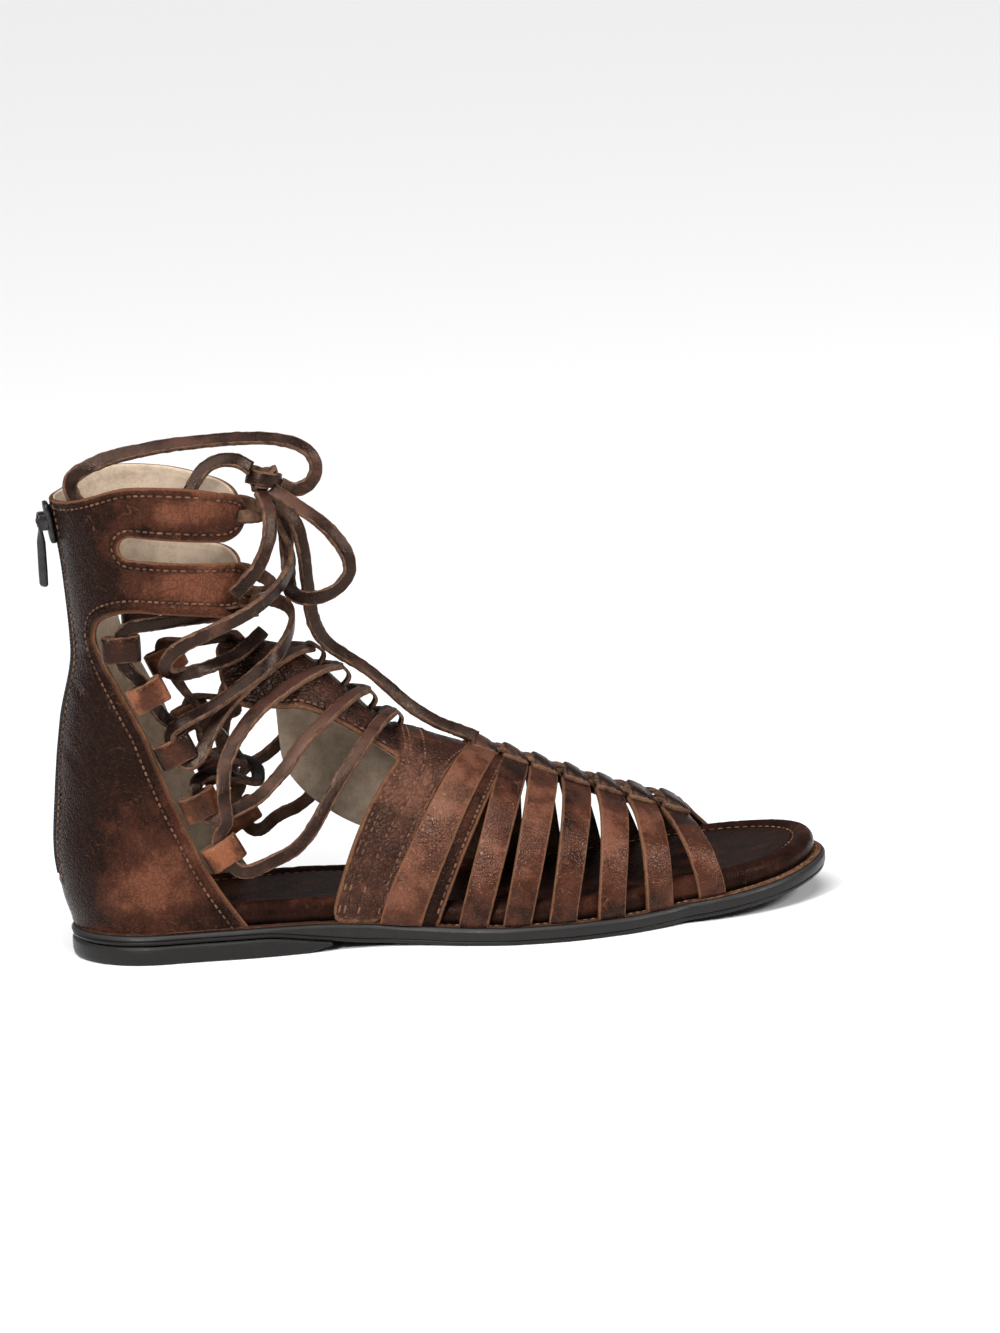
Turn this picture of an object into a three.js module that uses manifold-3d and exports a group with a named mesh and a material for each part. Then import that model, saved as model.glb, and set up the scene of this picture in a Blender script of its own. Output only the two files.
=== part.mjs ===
// A women's flat gladiator sandal for the right foot, in millimetres, +Z up.
// The last's own frame has X from the heel's back to the toe, Y from the outer side (-) to the inner side (+),
// and Z = 0 at the ground. At the end the whole group is moved so that its origin is at its bottom centre.
import * as THREE from 'three';
import { mergeVertices } from 'three/addons/utils/BufferGeometryUtils.js';
import Module from 'manifold-3d';

const wasm = await Module();
wasm.setup();

// Driving dimensions
const SOLE_LENGTH = 258;
const HEEL_RADIUS = 29;
const TOE_START = 205;
const PIECE_GAP = 0.3;
const SLIVER = 0.03;
const UPPER_INSET = 1.6;
const STRAP_WALL = 2.0;
const STRAP_LIFT = 0.3;
const SHAFT_WALL = 2.2;
const RIDGE_Y = 5;
const INSTEP_POWER = 2.2;
const TOE_POWER = 3;
const COLLAR_REACH = 66;
const MEDIAL_ADVANCE = 12;
const ZIP_HALF_WIDTH = 3.6;
const ZIP_FOOT = 27;
const ZIP_TAPE_WALL = 1.8;
const ZIP_RECESS = 0.5;
const SLIDER = { depth: 2.2, width: 8.4, height: 14, x: 1.2, z: 146.4, lean: 0.15 };
const CHEEK = { depth: 4, width: 1.1, height: 5.4, x: -1, y: 3.1 };
const ZIP_PIN = { x: -1.9, z: 147, radius: 0.6, length: 7 };
const PULL = { length: 22, width: 4.4, halfDepth: 0.6, eye: 1.45, bore: 0.8, mouth: 0.14 * Math.PI };
const LACE_WIDTH = 4.5;
const LACE_THICKNESS = 2.0;
const LACE_REST = 2.25;
const LOOP = { width: 9, length: 13, thickness: 5.2, tunnelLength: 10, tunnelHeight: 2.4, reach: 7.6 };
const HOLE = { radius: 2.1, turn: 0.94, upper: 146, lower: 122.6 };
const LIFT = { length: 84, flat: 76, slope: 0.22 };
const BRAID = { behind: 4.4, length: 10, spread: 0.26, wall: 3.6, lift: 2 };
const BRAID_CORE = { start: 136, length: 72, spread: 0.14, wall: 2.4, lift: 0.9 };
const BAR_STEPS = 26;
const RUN_STEPS = 18;
const CROSS_STEPS = 8;
const CORD_STEP = 10;

// The sole, a row for each section: half widths each side, underside and top of the outsole.
const SOLE = [
  { at: 0, lateral: 29, medial: 29, under: 6.6, over: 10 },
  { at: 30, lateral: 29, medial: 29, under: 6.6, over: 10 },
  { at: 60, lateral: 30.5, medial: 31, under: 6.6, over: 10 },
  { at: 80, lateral: 29.5, medial: 34, under: 4.0, over: 9.4 },
  { at: 97, lateral: 28.7, medial: 37.5, under: 1.6, over: 7.8 },
  { at: 112, lateral: 32, medial: 39, under: 0.6, over: 6.6 },
  { at: 128, lateral: 38.5, medial: 39.5, under: 0, over: 6 },
  { at: 145, lateral: 43.6, medial: 41, under: 0, over: 5.8 },
  { at: 160, lateral: 44.5, medial: 44.5, under: 0, over: 5.8 },
  { at: 180, lateral: 41.5, medial: 50, under: 0, over: 5.8 },
  { at: 195, lateral: 36.4, medial: 53.5, under: 0.4, over: 6.2 },
  { at: 205, lateral: 32.5, medial: 54.5, under: 1.0, over: 6.8 },
  { at: 235, lateral: 32.5, medial: 54.5, under: 4.2, over: 10 },
  { at: 258, lateral: 32.5, medial: 54.5, under: 8.4, over: 14 },
];

// The ridge of the foot from the tongue's end to the toe straps.
const RIDGE = [
  { at: 52, height: 101 },
  { at: 66, height: 101 },
  { at: 78, height: 98.5 },
  { at: 88, height: 92 },
  { at: 96, height: 84 },
  { at: 104, height: 76 },
  { at: 112, height: 69 },
  { at: 126, height: 64 },
  { at: 143, height: 57.5 },
  { at: 162, height: 49.5 },
  { at: 183, height: 40.8 },
  { at: 206, height: 32.5 },
  { at: 226, height: 24 },
];

// Where the instep's section would meet the sole behind the band; ahead of it the sole's own edge takes over.
const INSTEP = [
  { at: 52, lateral: -38, medial: 40 },
  { at: 64, lateral: -30, medial: 35 },
  { at: 76, lateral: -26, medial: 32.5 },
];

// The shaft's horizontal sections, by height.
const SHAFT = [
  { at: 10, back: 1.6, centre: 34, half: 28.2, front: 400 },
  { at: 22, back: -2.2, centre: 34, half: 29.6, front: 300 },
  { at: 36, back: -4, centre: 34, half: 30.2, front: 220 },
  { at: 55, back: -2.5, centre: 34, half: 30.2, front: 150 },
  { at: 80, back: 0.8, centre: 35, half: 30.4, front: 90 },
  { at: 104, back: 5.8, centre: 36, half: 30.4, front: 52 },
  { at: 130, back: 4.6, centre: 35, half: 29, front: 35 },
  { at: 158, back: 0.8, centre: 33, half: 27, front: 34 },
];

// The collar's top line, from the zip to the strap's end.
const COLLAR = [
  { at: -5, height: 154 },
  { at: 3, height: 154.6 },
  { at: 26, height: 160 },
  { at: 42, height: 158.6 },
  { at: 56, height: 155.4 },
  { at: 66, height: 149 },
];

// The toe straps: where each lands on the outer side, crosses the ridge, and lands on the inner side.
const STRAPS = [
  { lateral: 212.5, ridge: 205.6, medial: 225, width: 9.4 },
  { lateral: 193.6, ridge: 194.4, medial: 211.3, width: 9.4 },
  { lateral: 176.3, ridge: 183.8, medial: 198, width: 9.4 },
  { lateral: 159.5, ridge: 172.8, medial: 183.5, width: 9.4 },
  { lateral: 144.2, ridge: 162.2, medial: 169, width: 9.4 },
  { lateral: 130, ridge: 152.6, medial: 154.8, width: 9.4 },
  { lateral: 108, ridge: 143, medial: 140.5, width: 13 },
];

// The band's back and front edges and the tongue's two edges, by the share of the section's quarter turn.
const BAND = [
  { at: -1, back: 84, front: 101 },
  { at: -0.74, back: 96, front: 112 },
  { at: -0.5, back: 106, front: 121.5 },
  { at: -0.3, back: 112, front: 129 },
  { at: 0, back: 113, front: 138.5 },
  { at: 0.4, back: 112, front: 137 },
  { at: 0.7, back: 110, front: 132.5 },
  { at: 1, back: 106, front: 126 },
];
const TONGUE = [
  { at: 53.5, lateral: 0.3, medial: -0.08 },
  { at: 57, lateral: 0.4, medial: 0.06 },
  { at: 66, lateral: 0.44, medial: 0.16 },
  { at: 74, lateral: 0.44, medial: 0.3 },
  { at: 77, lateral: 0.43, medial: 0.7 },
  { at: 90, lateral: 0.4, medial: 0.8 },
  { at: 104, lateral: 0.35, medial: 0.83 },
  { at: 118, lateral: 0.32, medial: 0.84 },
];

// The folded loops that hold the lace, one row for each pair, at the quarter's front edges.
const LACE_LOOPS = [
  { height: 107, edge: 12.4, turn: 0 },
  { height: 88.5, edge: 20.8, turn: 24 },
  { height: 69, edge: 28.6, turn: 24 },
  { height: 50.5, edge: 35.8, turn: 22 },
  { height: 33, edge: 42.8, turn: 28 },
];
const KEEPERS = [{ at: 111 }, { at: 102.5 }, { at: 94 }, { at: 86 }];

// Half routes of the lace bars, from the ridge down to the outer side's loops.
const LACE_BARS = [
  [[111, 5, 71.2], [107, -2, 70.6], [100.5, -9, 67], [92.5, -15.5, 60], [86, -21, 50.4],
    [79.2, -26, 40.6], [72, -30, 35], [63, -32.5, 32.4]],
  [[102.5, 5, 79.4], [97.5, -2, 79.2], [90, -9, 76.4], [81.2, -16, 70.6], [72.5, -21, 62],
    [65.2, -26, 56], [60, -29, 52.6], [55, -31, 52]],
  [[94, 5, 87.8], [88, -2, 88.4], [78.7, -11, 87.4], [66.6, -18, 82.9], [56.5, -24.5, 74.5],
    [51, -31, 65.3], [50, -35.6, 56], [50.5, -34, 49.4], [51.4, -31, 46.6]],
  [[86, 5, 95.4], [80.9, -2, 96.6], [70.5, -11, 94.4], [59.4, -19, 88.2], [50.6, -25, 80.8], [46, -28.5, 74.5]],
];
const UPPER_BARS = [
  [[66, 18, 113], [73, 10, 113.5], [79, 2, 112], [79.4, -6, 108.5], [75, -14, 101.5], [67, -21, 95.6],
    [57.4, -25, 90.2], [46.4, -28.6, 84.5], [38, -33, 82.4]],
  [[78.8, -8, 135], [80.5, -12, 130.4], [77.9, -16, 126.9], [73.5, -23, 123], [64.3, -29.6, 117.4],
    [49.5, -33.5, 111.8], [39, -35.4, 108], [33, -34.4, 103], [34, -31, 98.4], [42, -26, 97.2], [53, -19, 98.4]],
];
const COLLAR_BARS = [
  [[65.4, -17.6, 146], [69.4, -13.2, 145.4], [72, -6, 144.4], [72, 6, 144.4], [69.4, 13.2, 145.4], [65.4, 17.6, 146]],
  [[67, -19.6, 122], [71, -14, 121], [73.4, -6, 120.4], [73.4, 6, 120.4], [71, 14, 121], [67, 19.6, 122]],
];

// Free cords: the bow's loops and the lace's two ends, all starting at the knot.
const KNOT = { x: 72.5, y: -6.5, z: 157, radius: 4.6 };
const CORDS = {
  lace_bow_collar: [
    [68, -9, 160.8], [64, -9.6, 163.6], [60, -9.8, 164.4], [55.6, -10, 163.8], [51.5, -11, 161.4], [48, -13, 157],
    [44, -15, 151.4], [36, -16.6, 148], [26, -16.6, 148], [17.6, -14.4, 150], [12, -11.6, 156], [11.4, -10.8, 162.6],
    [19.3, -11.4, 167.2], [34.8, -11, 170.2], [51.8, -9, 171], [65.3, -7.4, 170.8], [75.9, -6.8, 169.8],
    [84, -7.4, 167.4], [88.6, -8.4, 163.6], [89.6, -9, 158.8], [87, -9, 154.2], [82, -8.4, 152.6], [77.6, -7.4, 154.4],
  ],
  lace_bow_side: [
    [74.6, -11.4, 153.6], [78, -14.2, 151.2], [82.4, -16.6, 148], [88.2, -19.2, 143.6], [93.4, -21, 137.8],
    [96.8, -22, 131.6], [97.2, -22, 126], [93.9, -21, 121.2], [88.2, -19, 118], [82, -15.4, 117.4],
    [79, -9, 119], [79.4, -1.6, 125], [79.4, 1.6, 136], [78, 0.8, 147], [76, -1.6, 152.2],
  ],
  lace_end_short: [
    [70.4, -12, 153], [72, -16, 148.6], [72, -20, 142], [69.8, -23.4, 135.6], [66, -25.4, 129.6],
    [62, -27, 125.8], [57.8, -28.4, 122.4],
  ],
  lace_end_long: [
    [74.2, -6.4, 151.2], [77, -7.4, 147.8], [81.4, -8.6, 142.4], [83.6, -9, 134], [84.4, -8.6, 125],
    [85.2, -6.8, 115], [87, -4, 105.6], [91, -1, 98.8], [97, 2, 93.6], [103.6, 4, 88.6], [111, 5, 81.6],
    [119, 5.4, 74.6], [127.7, 5, 69.6], [133.6, 4.6, 66.6],
  ],
};

const COLOURS = {
  leather: { color: 0x5a2f1d, roughness: 0.45, metalness: 0 },
  light_leather: { color: 0x7a4628, roughness: 0.5, metalness: 0 },
  insole_leather: { color: 0x2e1a12, roughness: 0.4, metalness: 0 },
  rubber: { color: 0x1b1a19, roughness: 0.6, metalness: 0 },
  lace_leather: { color: 0x3d2419, roughness: 0.55, metalness: 0 },
  zip_metal: { color: 0x4a4a4c, roughness: 0.35, metalness: 0.9 },
  zip_tape: { color: 0x241a16, roughness: 0.9, metalness: 0 },
};

// A smooth curve through one column of a table, by its "at" column; it never overshoots a row.
function through(table, name) {
  const xs = table.map((row) => row.at);
  const ys = table.map((row) => row[name]);
  const secants = xs.slice(1).map((x, i) => (ys[i + 1] - ys[i]) / (x - xs[i]));
  const slopes = xs.map((x, i) => {
    const before = secants[Math.max(0, i - 1)];
    const after = secants[Math.min(secants.length - 1, i)];
    return before * after <= 0 ? 0 : 2 * before * after / (before + after);
  });
  return (x) => {
    const clamped = Math.min(Math.max(x, xs[0]), xs[xs.length - 1]);
    let i = 0;
    while (i < xs.length - 2 && clamped > xs[i + 1]) {
      i += 1;
    }
    const span = xs[i + 1] - xs[i];
    const t = (clamped - xs[i]) / span;
    const rise = ys[i] * (2 * t ** 3 - 3 * t ** 2 + 1) + ys[i + 1] * (3 * t ** 2 - 2 * t ** 3);
    const turn = slopes[i] * (t ** 3 - 2 * t ** 2 + t) + slopes[i + 1] * (t ** 3 - t ** 2);
    return rise + turn * span;
  };
}

// A closed mesh from points and triangles, turned so that its faces point out.
function closedMesh(points, triangles) {
  let volume = 0;
  const cross = new THREE.Vector3();
  for (const [a, b, c] of triangles) {
    volume += points[a].dot(cross.crossVectors(points[b], points[c]));
  }
  const order = volume > 0 ? triangles : triangles.map(([a, b, c]) => [a, c, b]);
  const geometry = new THREE.BufferGeometry();
  const positions = points.flatMap((point) => point.toArray());
  geometry.setAttribute('position', new THREE.Float32BufferAttribute(positions, 3));
  geometry.setIndex(order.flat());
  return geometry;
}

// Two triangles for each cell between two rows of point numbers.
function ladder(first, second) {
  const triangles = [];
  for (let i = 0; i < first.length - 1; i += 1) {
    triangles.push([first[i], first[i + 1], second[i + 1]]);
    triangles.push([first[i], second[i + 1], second[i]]);
  }
  return triangles;
}

// A sheet of leather with a real wall: point(u, v) is its outer face, and the inner face lies a wall behind it.
function leatherSheet(point, wall, across, along, lift = 0) {
  const step = 1e-3;
  const outer = [];
  const inner = [];
  for (let j = 0; j <= along; j += 1) {
    for (let i = 0; i <= across; i += 1) {
      const u = i / across;
      const v = j / along;
      const place = point(u, v);
      const du = point(Math.min(u + step, 1), v).sub(point(Math.max(u - step, 0), v));
      const dv = point(u, Math.min(v + step, 1)).sub(point(u, Math.max(v - step, 0)));
      const normal = du.cross(dv).normalize();
      outer.push(place.clone().addScaledVector(normal, lift));
      inner.push(place.clone().addScaledVector(normal, lift - wall));
    }
  }
  const points = [...outer, ...inner];
  const row = (j, offset) => Array.from({ length: across + 1 }, (_, i) => offset + j * (across + 1) + i);
  const rim = (i, offset) => Array.from({ length: along + 1 }, (_, j) => offset + j * (across + 1) + i);
  const shift = outer.length;
  const triangles = [];
  for (let j = 0; j < along; j += 1) {
    triangles.push(...ladder(row(j, 0), row(j + 1, 0)));
    triangles.push(...ladder(row(j + 1, shift), row(j, shift)));
  }
  triangles.push(...ladder(row(0, shift), row(0, 0)));
  triangles.push(...ladder(row(along, 0), row(along, shift)));
  triangles.push(...ladder(rim(0, 0), rim(0, shift)));
  triangles.push(...ladder(rim(across, shift), rim(across, 0)));
  return closedMesh(points, triangles);
}

// A solid for joining and cutting, from any closed mesh.
function solid(geometry) {
  const bare = geometry.clone();
  bare.deleteAttribute('normal');
  bare.deleteAttribute('uv');
  const merged = mergeVertices(bare, 1e-4);
  const vertProperties = new Float32Array(merged.attributes.position.array);
  const triVerts = new Uint32Array(merged.index.array);
  return new wasm.Manifold(new wasm.Mesh({ numProp: 3, vertProperties, triVerts }));
}

// The mesh of a joined or cut solid.
function geometryOf(manifold) {
  const mesh = manifold.getMesh();
  const geometry = new THREE.BufferGeometry();
  geometry.setAttribute('position', new THREE.BufferAttribute(new Float32Array(mesh.vertProperties), 3));
  geometry.setIndex(new THREE.BufferAttribute(new Uint32Array(mesh.triVerts), 1));
  return geometry;
}

// The largest body of a joined solid, without slivers of air caught between its layers.
function mainBody(manifold) {
  return manifold.simplify(SLIVER).decompose().reduce((best, body) => (body.volume() > best.volume() ? body : best));
}

const soleUnder = through(SOLE, 'under');
const soleOver = through(SOLE, 'over');
const lateralTable = through(SOLE, 'lateral');
const medialTable = through(SOLE, 'medial');

// The sole's round ends: 1 along its middle, falling to 0 at the heel's back and at the toe's tip.
function endRounding(x) {
  if (x < HEEL_RADIUS) {
    return Math.sqrt(Math.max(0, 1 - ((HEEL_RADIUS - x) / HEEL_RADIUS) ** 2));
  }
  if (x > TOE_START) {
    return Math.sqrt(Math.max(0, 1 - ((x - TOE_START) / (SOLE_LENGTH - TOE_START)) ** 2));
  }
  return 1;
}

// The sole's edge on one side (-1 outer, +1 inner) at x.
function soleEdge(side, x) {
  const middle = x > TOE_START ? (medialTable(x) - lateralTable(x)) / 2 : 0;
  const reach = side < 0 ? -lateralTable(x) : medialTable(x);
  return middle + (reach - middle) * endRounding(x);
}

// A point of the sole's outline moved in by an inset, by a share t of the way from heel to toe.
function insetPoint(side, t, inset) {
  const place = (s) => {
    const x = SOLE_LENGTH * (1 - Math.cos(Math.PI * s)) / 2;
    return new THREE.Vector2(x, soleEdge(side, x));
  };
  const step = 1e-3;
  const here = place(t);
  const tangent = t < step || t > 1 - step
    ? new THREE.Vector2(0, t < step ? side : -side)
    : place(t + step).sub(place(t - step)).normalize();
  const inward = new THREE.Vector2(-tangent.y, tangent.x).multiplyScalar(-side);
  return here.addScaledVector(inward, inset);
}

// A slab with the sole's outline from heel to a share "to" of the way, as a stack of rings.
function soleSlab(rings, stations, to = 1) {
  const points = [];
  const sides = rings.map(({ inset, height }) => {
    const shares = Array.from({ length: stations + 1 }, (_, i) => to * i / stations);
    const put = (side) => shares.map((t) => {
      const place = insetPoint(side, t, inset);
      points.push(new THREE.Vector3(place.x, place.y, height(place.x)));
      return points.length - 1;
    });
    const lateral = put(-1);
    const medial = put(1);
    medial[0] = lateral[0];
    if (to === 1) {
      medial[stations] = lateral[stations];
    }
    return { lateral, medial };
  });
  const triangles = [];
  const keep = (list) => triangles.push(...list.filter(([a, b, c]) => a !== b && b !== c && a !== c));
  for (let k = 0; k < sides.length - 1; k += 1) {
    keep(ladder(sides[k].lateral, sides[k + 1].lateral));
    keep(ladder(sides[k + 1].medial, sides[k].medial));
    if (to !== 1) {
      const front = (ring) => [ring.lateral[stations], ring.medial[stations]];
      keep(ladder(front(sides[k]), front(sides[k + 1])));
    }
  }
  const bottom = sides[0];
  const top = sides[sides.length - 1];
  keep(ladder(bottom.medial, bottom.lateral));
  keep(ladder(top.lateral, top.medial));
  const geometry = closedMesh(points, triangles);
  return mergeVertices(geometry, 1e-5);
}

const ridgeHeight = through(RIDGE, 'height');
const soleLandings = SOLE.filter((row) => row.at > 78 && row.at <= TOE_START).map((row) => ({
  at: row.at,
  lateral: UPPER_INSET - row.lateral,
  medial: row.medial - UPPER_INSET,
}));
const toeLandings = [215, 226].map((at) => ({
  at,
  lateral: soleEdge(-1, at) + UPPER_INSET + 0.6,
  medial: soleEdge(1, at) - UPPER_INSET - 0.6,
}));
const landings = [...INSTEP, ...soleLandings, ...toeLandings];
const lateralReach = through(landings, 'lateral');
const medialReach = through(landings, 'medial');

// How square the foot's section is: rounder at the instep, squarer where the toes are low.
function sectionPower(x) {
  return THREE.MathUtils.lerp(INSTEP_POWER, TOE_POWER, THREE.MathUtils.smoothstep(x, 150, 212));
}

// The foot's outer face at x: turn goes from -1 at the outer landing, over the ridge at 0, to +1 at the inner.
function footPoint(x, turn) {
  const angle = Math.abs(turn) * Math.PI / 2;
  const reach = (turn < 0 ? lateralReach(x) : medialReach(x)) - RIDGE_Y;
  const foot = soleOver(x) + PIECE_GAP;
  const power = sectionPower(x);
  const out = Math.sin(angle) ** (2 / power);
  const up = Math.cos(angle) ** (2 / power);
  return new THREE.Vector3(x, RIDGE_Y + reach * out, foot + (ridgeHeight(x) - foot) * up);
}

// The line of one strap: x for each turn.
function strapLine(strap, turn) {
  const landing = turn < 0 ? strap.lateral : strap.medial;
  return strap.ridge + (landing - strap.ridge) * Math.abs(turn) ** 1.25;
}

function strapSheet(strap) {
  const point = (u, v) => {
    const turn = 2 * v - 1;
    return footPoint(strapLine(strap, turn) + (u - 0.5) * strap.width, turn);
  };
  return leatherSheet(point, STRAP_WALL, 1, 16, STRAP_LIFT);
}

// The link that folds over one strap's crest and reaches for the next strap ahead.
function braidLink(strap) {
  const start = strap.ridge - BRAID.behind;
  const point = (u, v) => footPoint(start + BRAID.length * u, (v - 0.5) * BRAID.spread);
  return leatherSheet(point, BRAID.wall, 2, 3, BRAID.lift);
}

function bandSheet() {
  const back = through(BAND, 'back');
  const front = through(BAND, 'front');
  const point = (u, v) => {
    const turn = 2 * v - 1;
    return footPoint(back(turn) + (front(turn) - back(turn)) * u, turn);
  };
  return leatherSheet(point, STRAP_WALL, 3, 20);
}

function tongueSheet() {
  const lateral = through(TONGUE, 'lateral');
  const medial = through(TONGUE, 'medial');
  const start = TONGUE[0].at;
  const end = TONGUE[TONGUE.length - 1].at;
  const point = (u, v) => {
    const x = start + (end - start) * v;
    return footPoint(x, medial(x) - (lateral(x) + medial(x)) * u);
  };
  return leatherSheet(point, STRAP_WALL - 0.3, 8, 16, -0.3);
}

// The vamp: band, tongue and straps joined along the ridge by the braid.
function vampSolid() {
  const pieces = [bandSheet(), tongueSheet(), ...STRAPS.map(strapSheet), ...STRAPS.map(braidLink)];
  const core = BRAID_CORE;
  const corePoint = (u, v) => footPoint(core.start + core.length * v, (0.5 - u) * core.spread);
  pieces.push(leatherSheet(corePoint, core.wall, 1, 12, core.lift));
  return mainBody(pieces.map(solid).reduce((whole, piece) => whole.add(piece)));
}

const shaftBack = through(SHAFT, 'back');
const shaftCentre = through(SHAFT, 'centre');
const shaftHalf = through(SHAFT, 'half');
const shaftFront = through(SHAFT, 'front');
const collarTop = through(COLLAR, 'height');
const REAR_SHARE = 0.62;

// The shaft's outer face at a height: turn goes from -1 at the outer strap's end, round the back, to +1.
function shaftPoint(turn, height) {
  const side = turn < 0 ? -1 : 1;
  const share = Math.abs(turn);
  const centre = shaftCentre(height);
  const half = shaftHalf(height);
  if (share <= REAR_SHARE) {
    const angle = share / REAR_SHARE * Math.PI / 2;
    const rear = centre - shaftBack(height);
    return new THREE.Vector3(centre - rear * Math.cos(angle), side * half * Math.sin(angle), height);
  }
  const reach = shaftFront(height);
  const last = Math.asin(Math.min(0.97, (COLLAR_REACH - centre) / reach));
  const angle = (share - REAR_SHARE) / (1 - REAR_SHARE) * last;
  const x = centre + reach * Math.sin(angle);
  const spread = (side < 0 ? lateralTable(x) : medialTable(x)) - HEEL_RADIUS;
  const low = 1 - THREE.MathUtils.smoothstep(height, 10, 46);
  return new THREE.Vector3(x, side * (half * Math.cos(angle) + spread * low), height);
}

function shaftSheet() {
  const foot = soleOver(0) + PIECE_GAP;
  const collarLine = SHAFT[SHAFT.length - 1].at;
  const point = (u, v) => {
    const turn = 1 - 2 * u;
    const top = collarTop(shaftPoint(turn, collarLine).x);
    return shaftPoint(turn, foot + (top - foot) * v);
  };
  return leatherSheet(point, SHAFT_WALL, 36, 13);
}

// A flat shape in the X-Z plane, pushed out to one side of the shaft.
function sideCutter(shape, side) {
  const geometry = new THREE.ExtrudeGeometry(shape, { depth: 60, bevelEnabled: false, curveSegments: 5 });
  geometry.rotateX(Math.PI / 2);
  geometry.translate(0, side < 0 ? -1 : 61, 0);
  return solid(geometry);
}

// The opening between the heel counter, the collar's lower strap and the front.
function openingShape(advance) {
  const shape = new THREE.Shape();
  shape.moveTo(100, 0);
  shape.lineTo(60 + advance, 0);
  shape.lineTo(56.4 + advance, 10);
  shape.quadraticCurveTo(47 + advance, 24, 42.4 + advance, 34);
  shape.quadraticCurveTo(33 + advance, 56, 25.8 + advance, 78);
  shape.lineTo(13.6 + advance, 102.6);
  shape.quadraticCurveTo(8.6 + advance, 113, 15 + advance, 116.6);
  shape.quadraticCurveTo(20 + advance, 119.2, 27 + advance, 118.6);
  shape.quadraticCurveTo(44, 116.8, 56, 114.4);
  shape.quadraticCurveTo(62, 114.4, 64.4, 118);
  shape.lineTo(67, 124);
  shape.lineTo(100, 124);
  shape.closePath();
  return shape;
}

// The slot between the collar's two straps, round at the back and flared at the straps' round ends.
function slotShape() {
  const shape = new THREE.Shape();
  const radius = 3.8;
  shape.moveTo(100, 125);
  shape.lineTo(66.5, 126);
  shape.quadraticCurveTo(64, 131.6, 58, 132);
  shape.lineTo(25, 136.2);
  shape.absarc(24.8, 136.2 + radius, radius, -Math.PI / 2, Math.PI / 2, true);
  shape.lineTo(57, 139);
  shape.quadraticCurveTo(63, 138.6, 65, 143);
  shape.lineTo(66.5, 147);
  shape.lineTo(100, 147);
  shape.closePath();
  return shape;
}

// A round hole punched square through the strap's end.
function laceHole(turn, height) {
  const here = shaftPoint(turn, height);
  const along = shaftPoint(turn + 0.01, height).sub(shaftPoint(turn - 0.01, height)).normalize();
  const normal = new THREE.Vector3(along.y, -along.x, 0);
  const geometry = new THREE.CylinderGeometry(HOLE.radius, HOLE.radius, 12, 10);
  geometry.applyQuaternion(new THREE.Quaternion().setFromUnitVectors(new THREE.Vector3(0, 1, 0), normal));
  geometry.translate(here.x, here.y, here.z);
  return solid(geometry);
}

function quarterSolid() {
  let whole = solid(shaftSheet());
  for (const side of [-1, 1]) {
    whole = whole.subtract(sideCutter(openingShape(side < 0 ? 0 : MEDIAL_ADVANCE), side));
    whole = whole.subtract(sideCutter(slotShape(), side));
    whole = whole.subtract(laceHole(side * HOLE.turn, HOLE.upper));
    whole = whole.subtract(laceHole(side * HOLE.turn, HOLE.lower));
  }
  const zipSlot = new THREE.BoxGeometry(24, 2 * ZIP_HALF_WIDTH, 200);
  zipSlot.translate(0, 0, ZIP_FOOT + 100);
  return whole.subtract(solid(zipSlot));
}

// The zip's closed chain and tape, which fills the slit up the back.
function zipTape() {
  const top = collarTop(SHAFT[SHAFT.length - 1].back) - 1;
  const half = ZIP_HALF_WIDTH - PIECE_GAP;
  const point = (u, v) => {
    const height = ZIP_FOOT + PIECE_GAP + (top - ZIP_FOOT) * v;
    return new THREE.Vector3(shaftBack(height) + ZIP_RECESS, half * (1 - 2 * u), height);
  };
  return leatherSheet(point, ZIP_TAPE_WALL, 2, 16);
}

// The slider: a body across the chain, leaning with the shaft's back, and two cheeks that hold the pull's pin.
function zipSlider() {
  const body = new THREE.BoxGeometry(SLIDER.depth, SLIDER.width, SLIDER.height);
  body.rotateY(-SLIDER.lean);
  body.translate(SLIDER.x, 0, SLIDER.z);
  const pin = new THREE.CylinderGeometry(ZIP_PIN.radius, ZIP_PIN.radius, ZIP_PIN.length, 10);
  pin.translate(ZIP_PIN.x, 0, ZIP_PIN.z);
  const cheeks = [-1, 1].map((side) => {
    const cheek = new THREE.BoxGeometry(CHEEK.depth, CHEEK.width, CHEEK.height);
    cheek.translate(CHEEK.x, side * CHEEK.y, ZIP_PIN.z);
    return solid(cheek);
  });
  return [pin, body].map(solid).concat(cheeks).reduce((whole, piece) => whole.add(piece));
}

// The pull tab: an eye round the pin and a plate that hangs from it.
function zipPull() {
  const shape = new THREE.Shape();
  shape.absarc(0, 0, PULL.eye, PULL.mouth - Math.PI / 2, Math.PI * 1.5 - PULL.mouth, false);
  shape.lineTo(-PULL.halfDepth, -PULL.length);
  shape.lineTo(PULL.halfDepth, -PULL.length);
  shape.closePath();
  const eye = new THREE.Path();
  eye.absarc(0, 0, PULL.bore, 0, Math.PI * 2, true);
  shape.holes.push(eye);
  const geometry = new THREE.ExtrudeGeometry(shape, { depth: PULL.width, bevelEnabled: false, curveSegments: 8 });
  geometry.rotateX(Math.PI / 2);
  geometry.translate(ZIP_PIN.x, PULL.width / 2, ZIP_PIN.z);
  return geometry;
}

// A long ring with flat sides and round ends, as an outline or a hole.
function stadium(path, length, height) {
  const radius = height / 2;
  const reach = length / 2 - radius;
  path.moveTo(-reach, -radius);
  path.lineTo(reach, -radius);
  path.absarc(reach, 0, radius, -Math.PI / 2, Math.PI / 2, false);
  path.lineTo(-reach, radius);
  path.absarc(-reach, 0, radius, Math.PI / 2, Math.PI * 1.5, false);
  return path;
}

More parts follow.
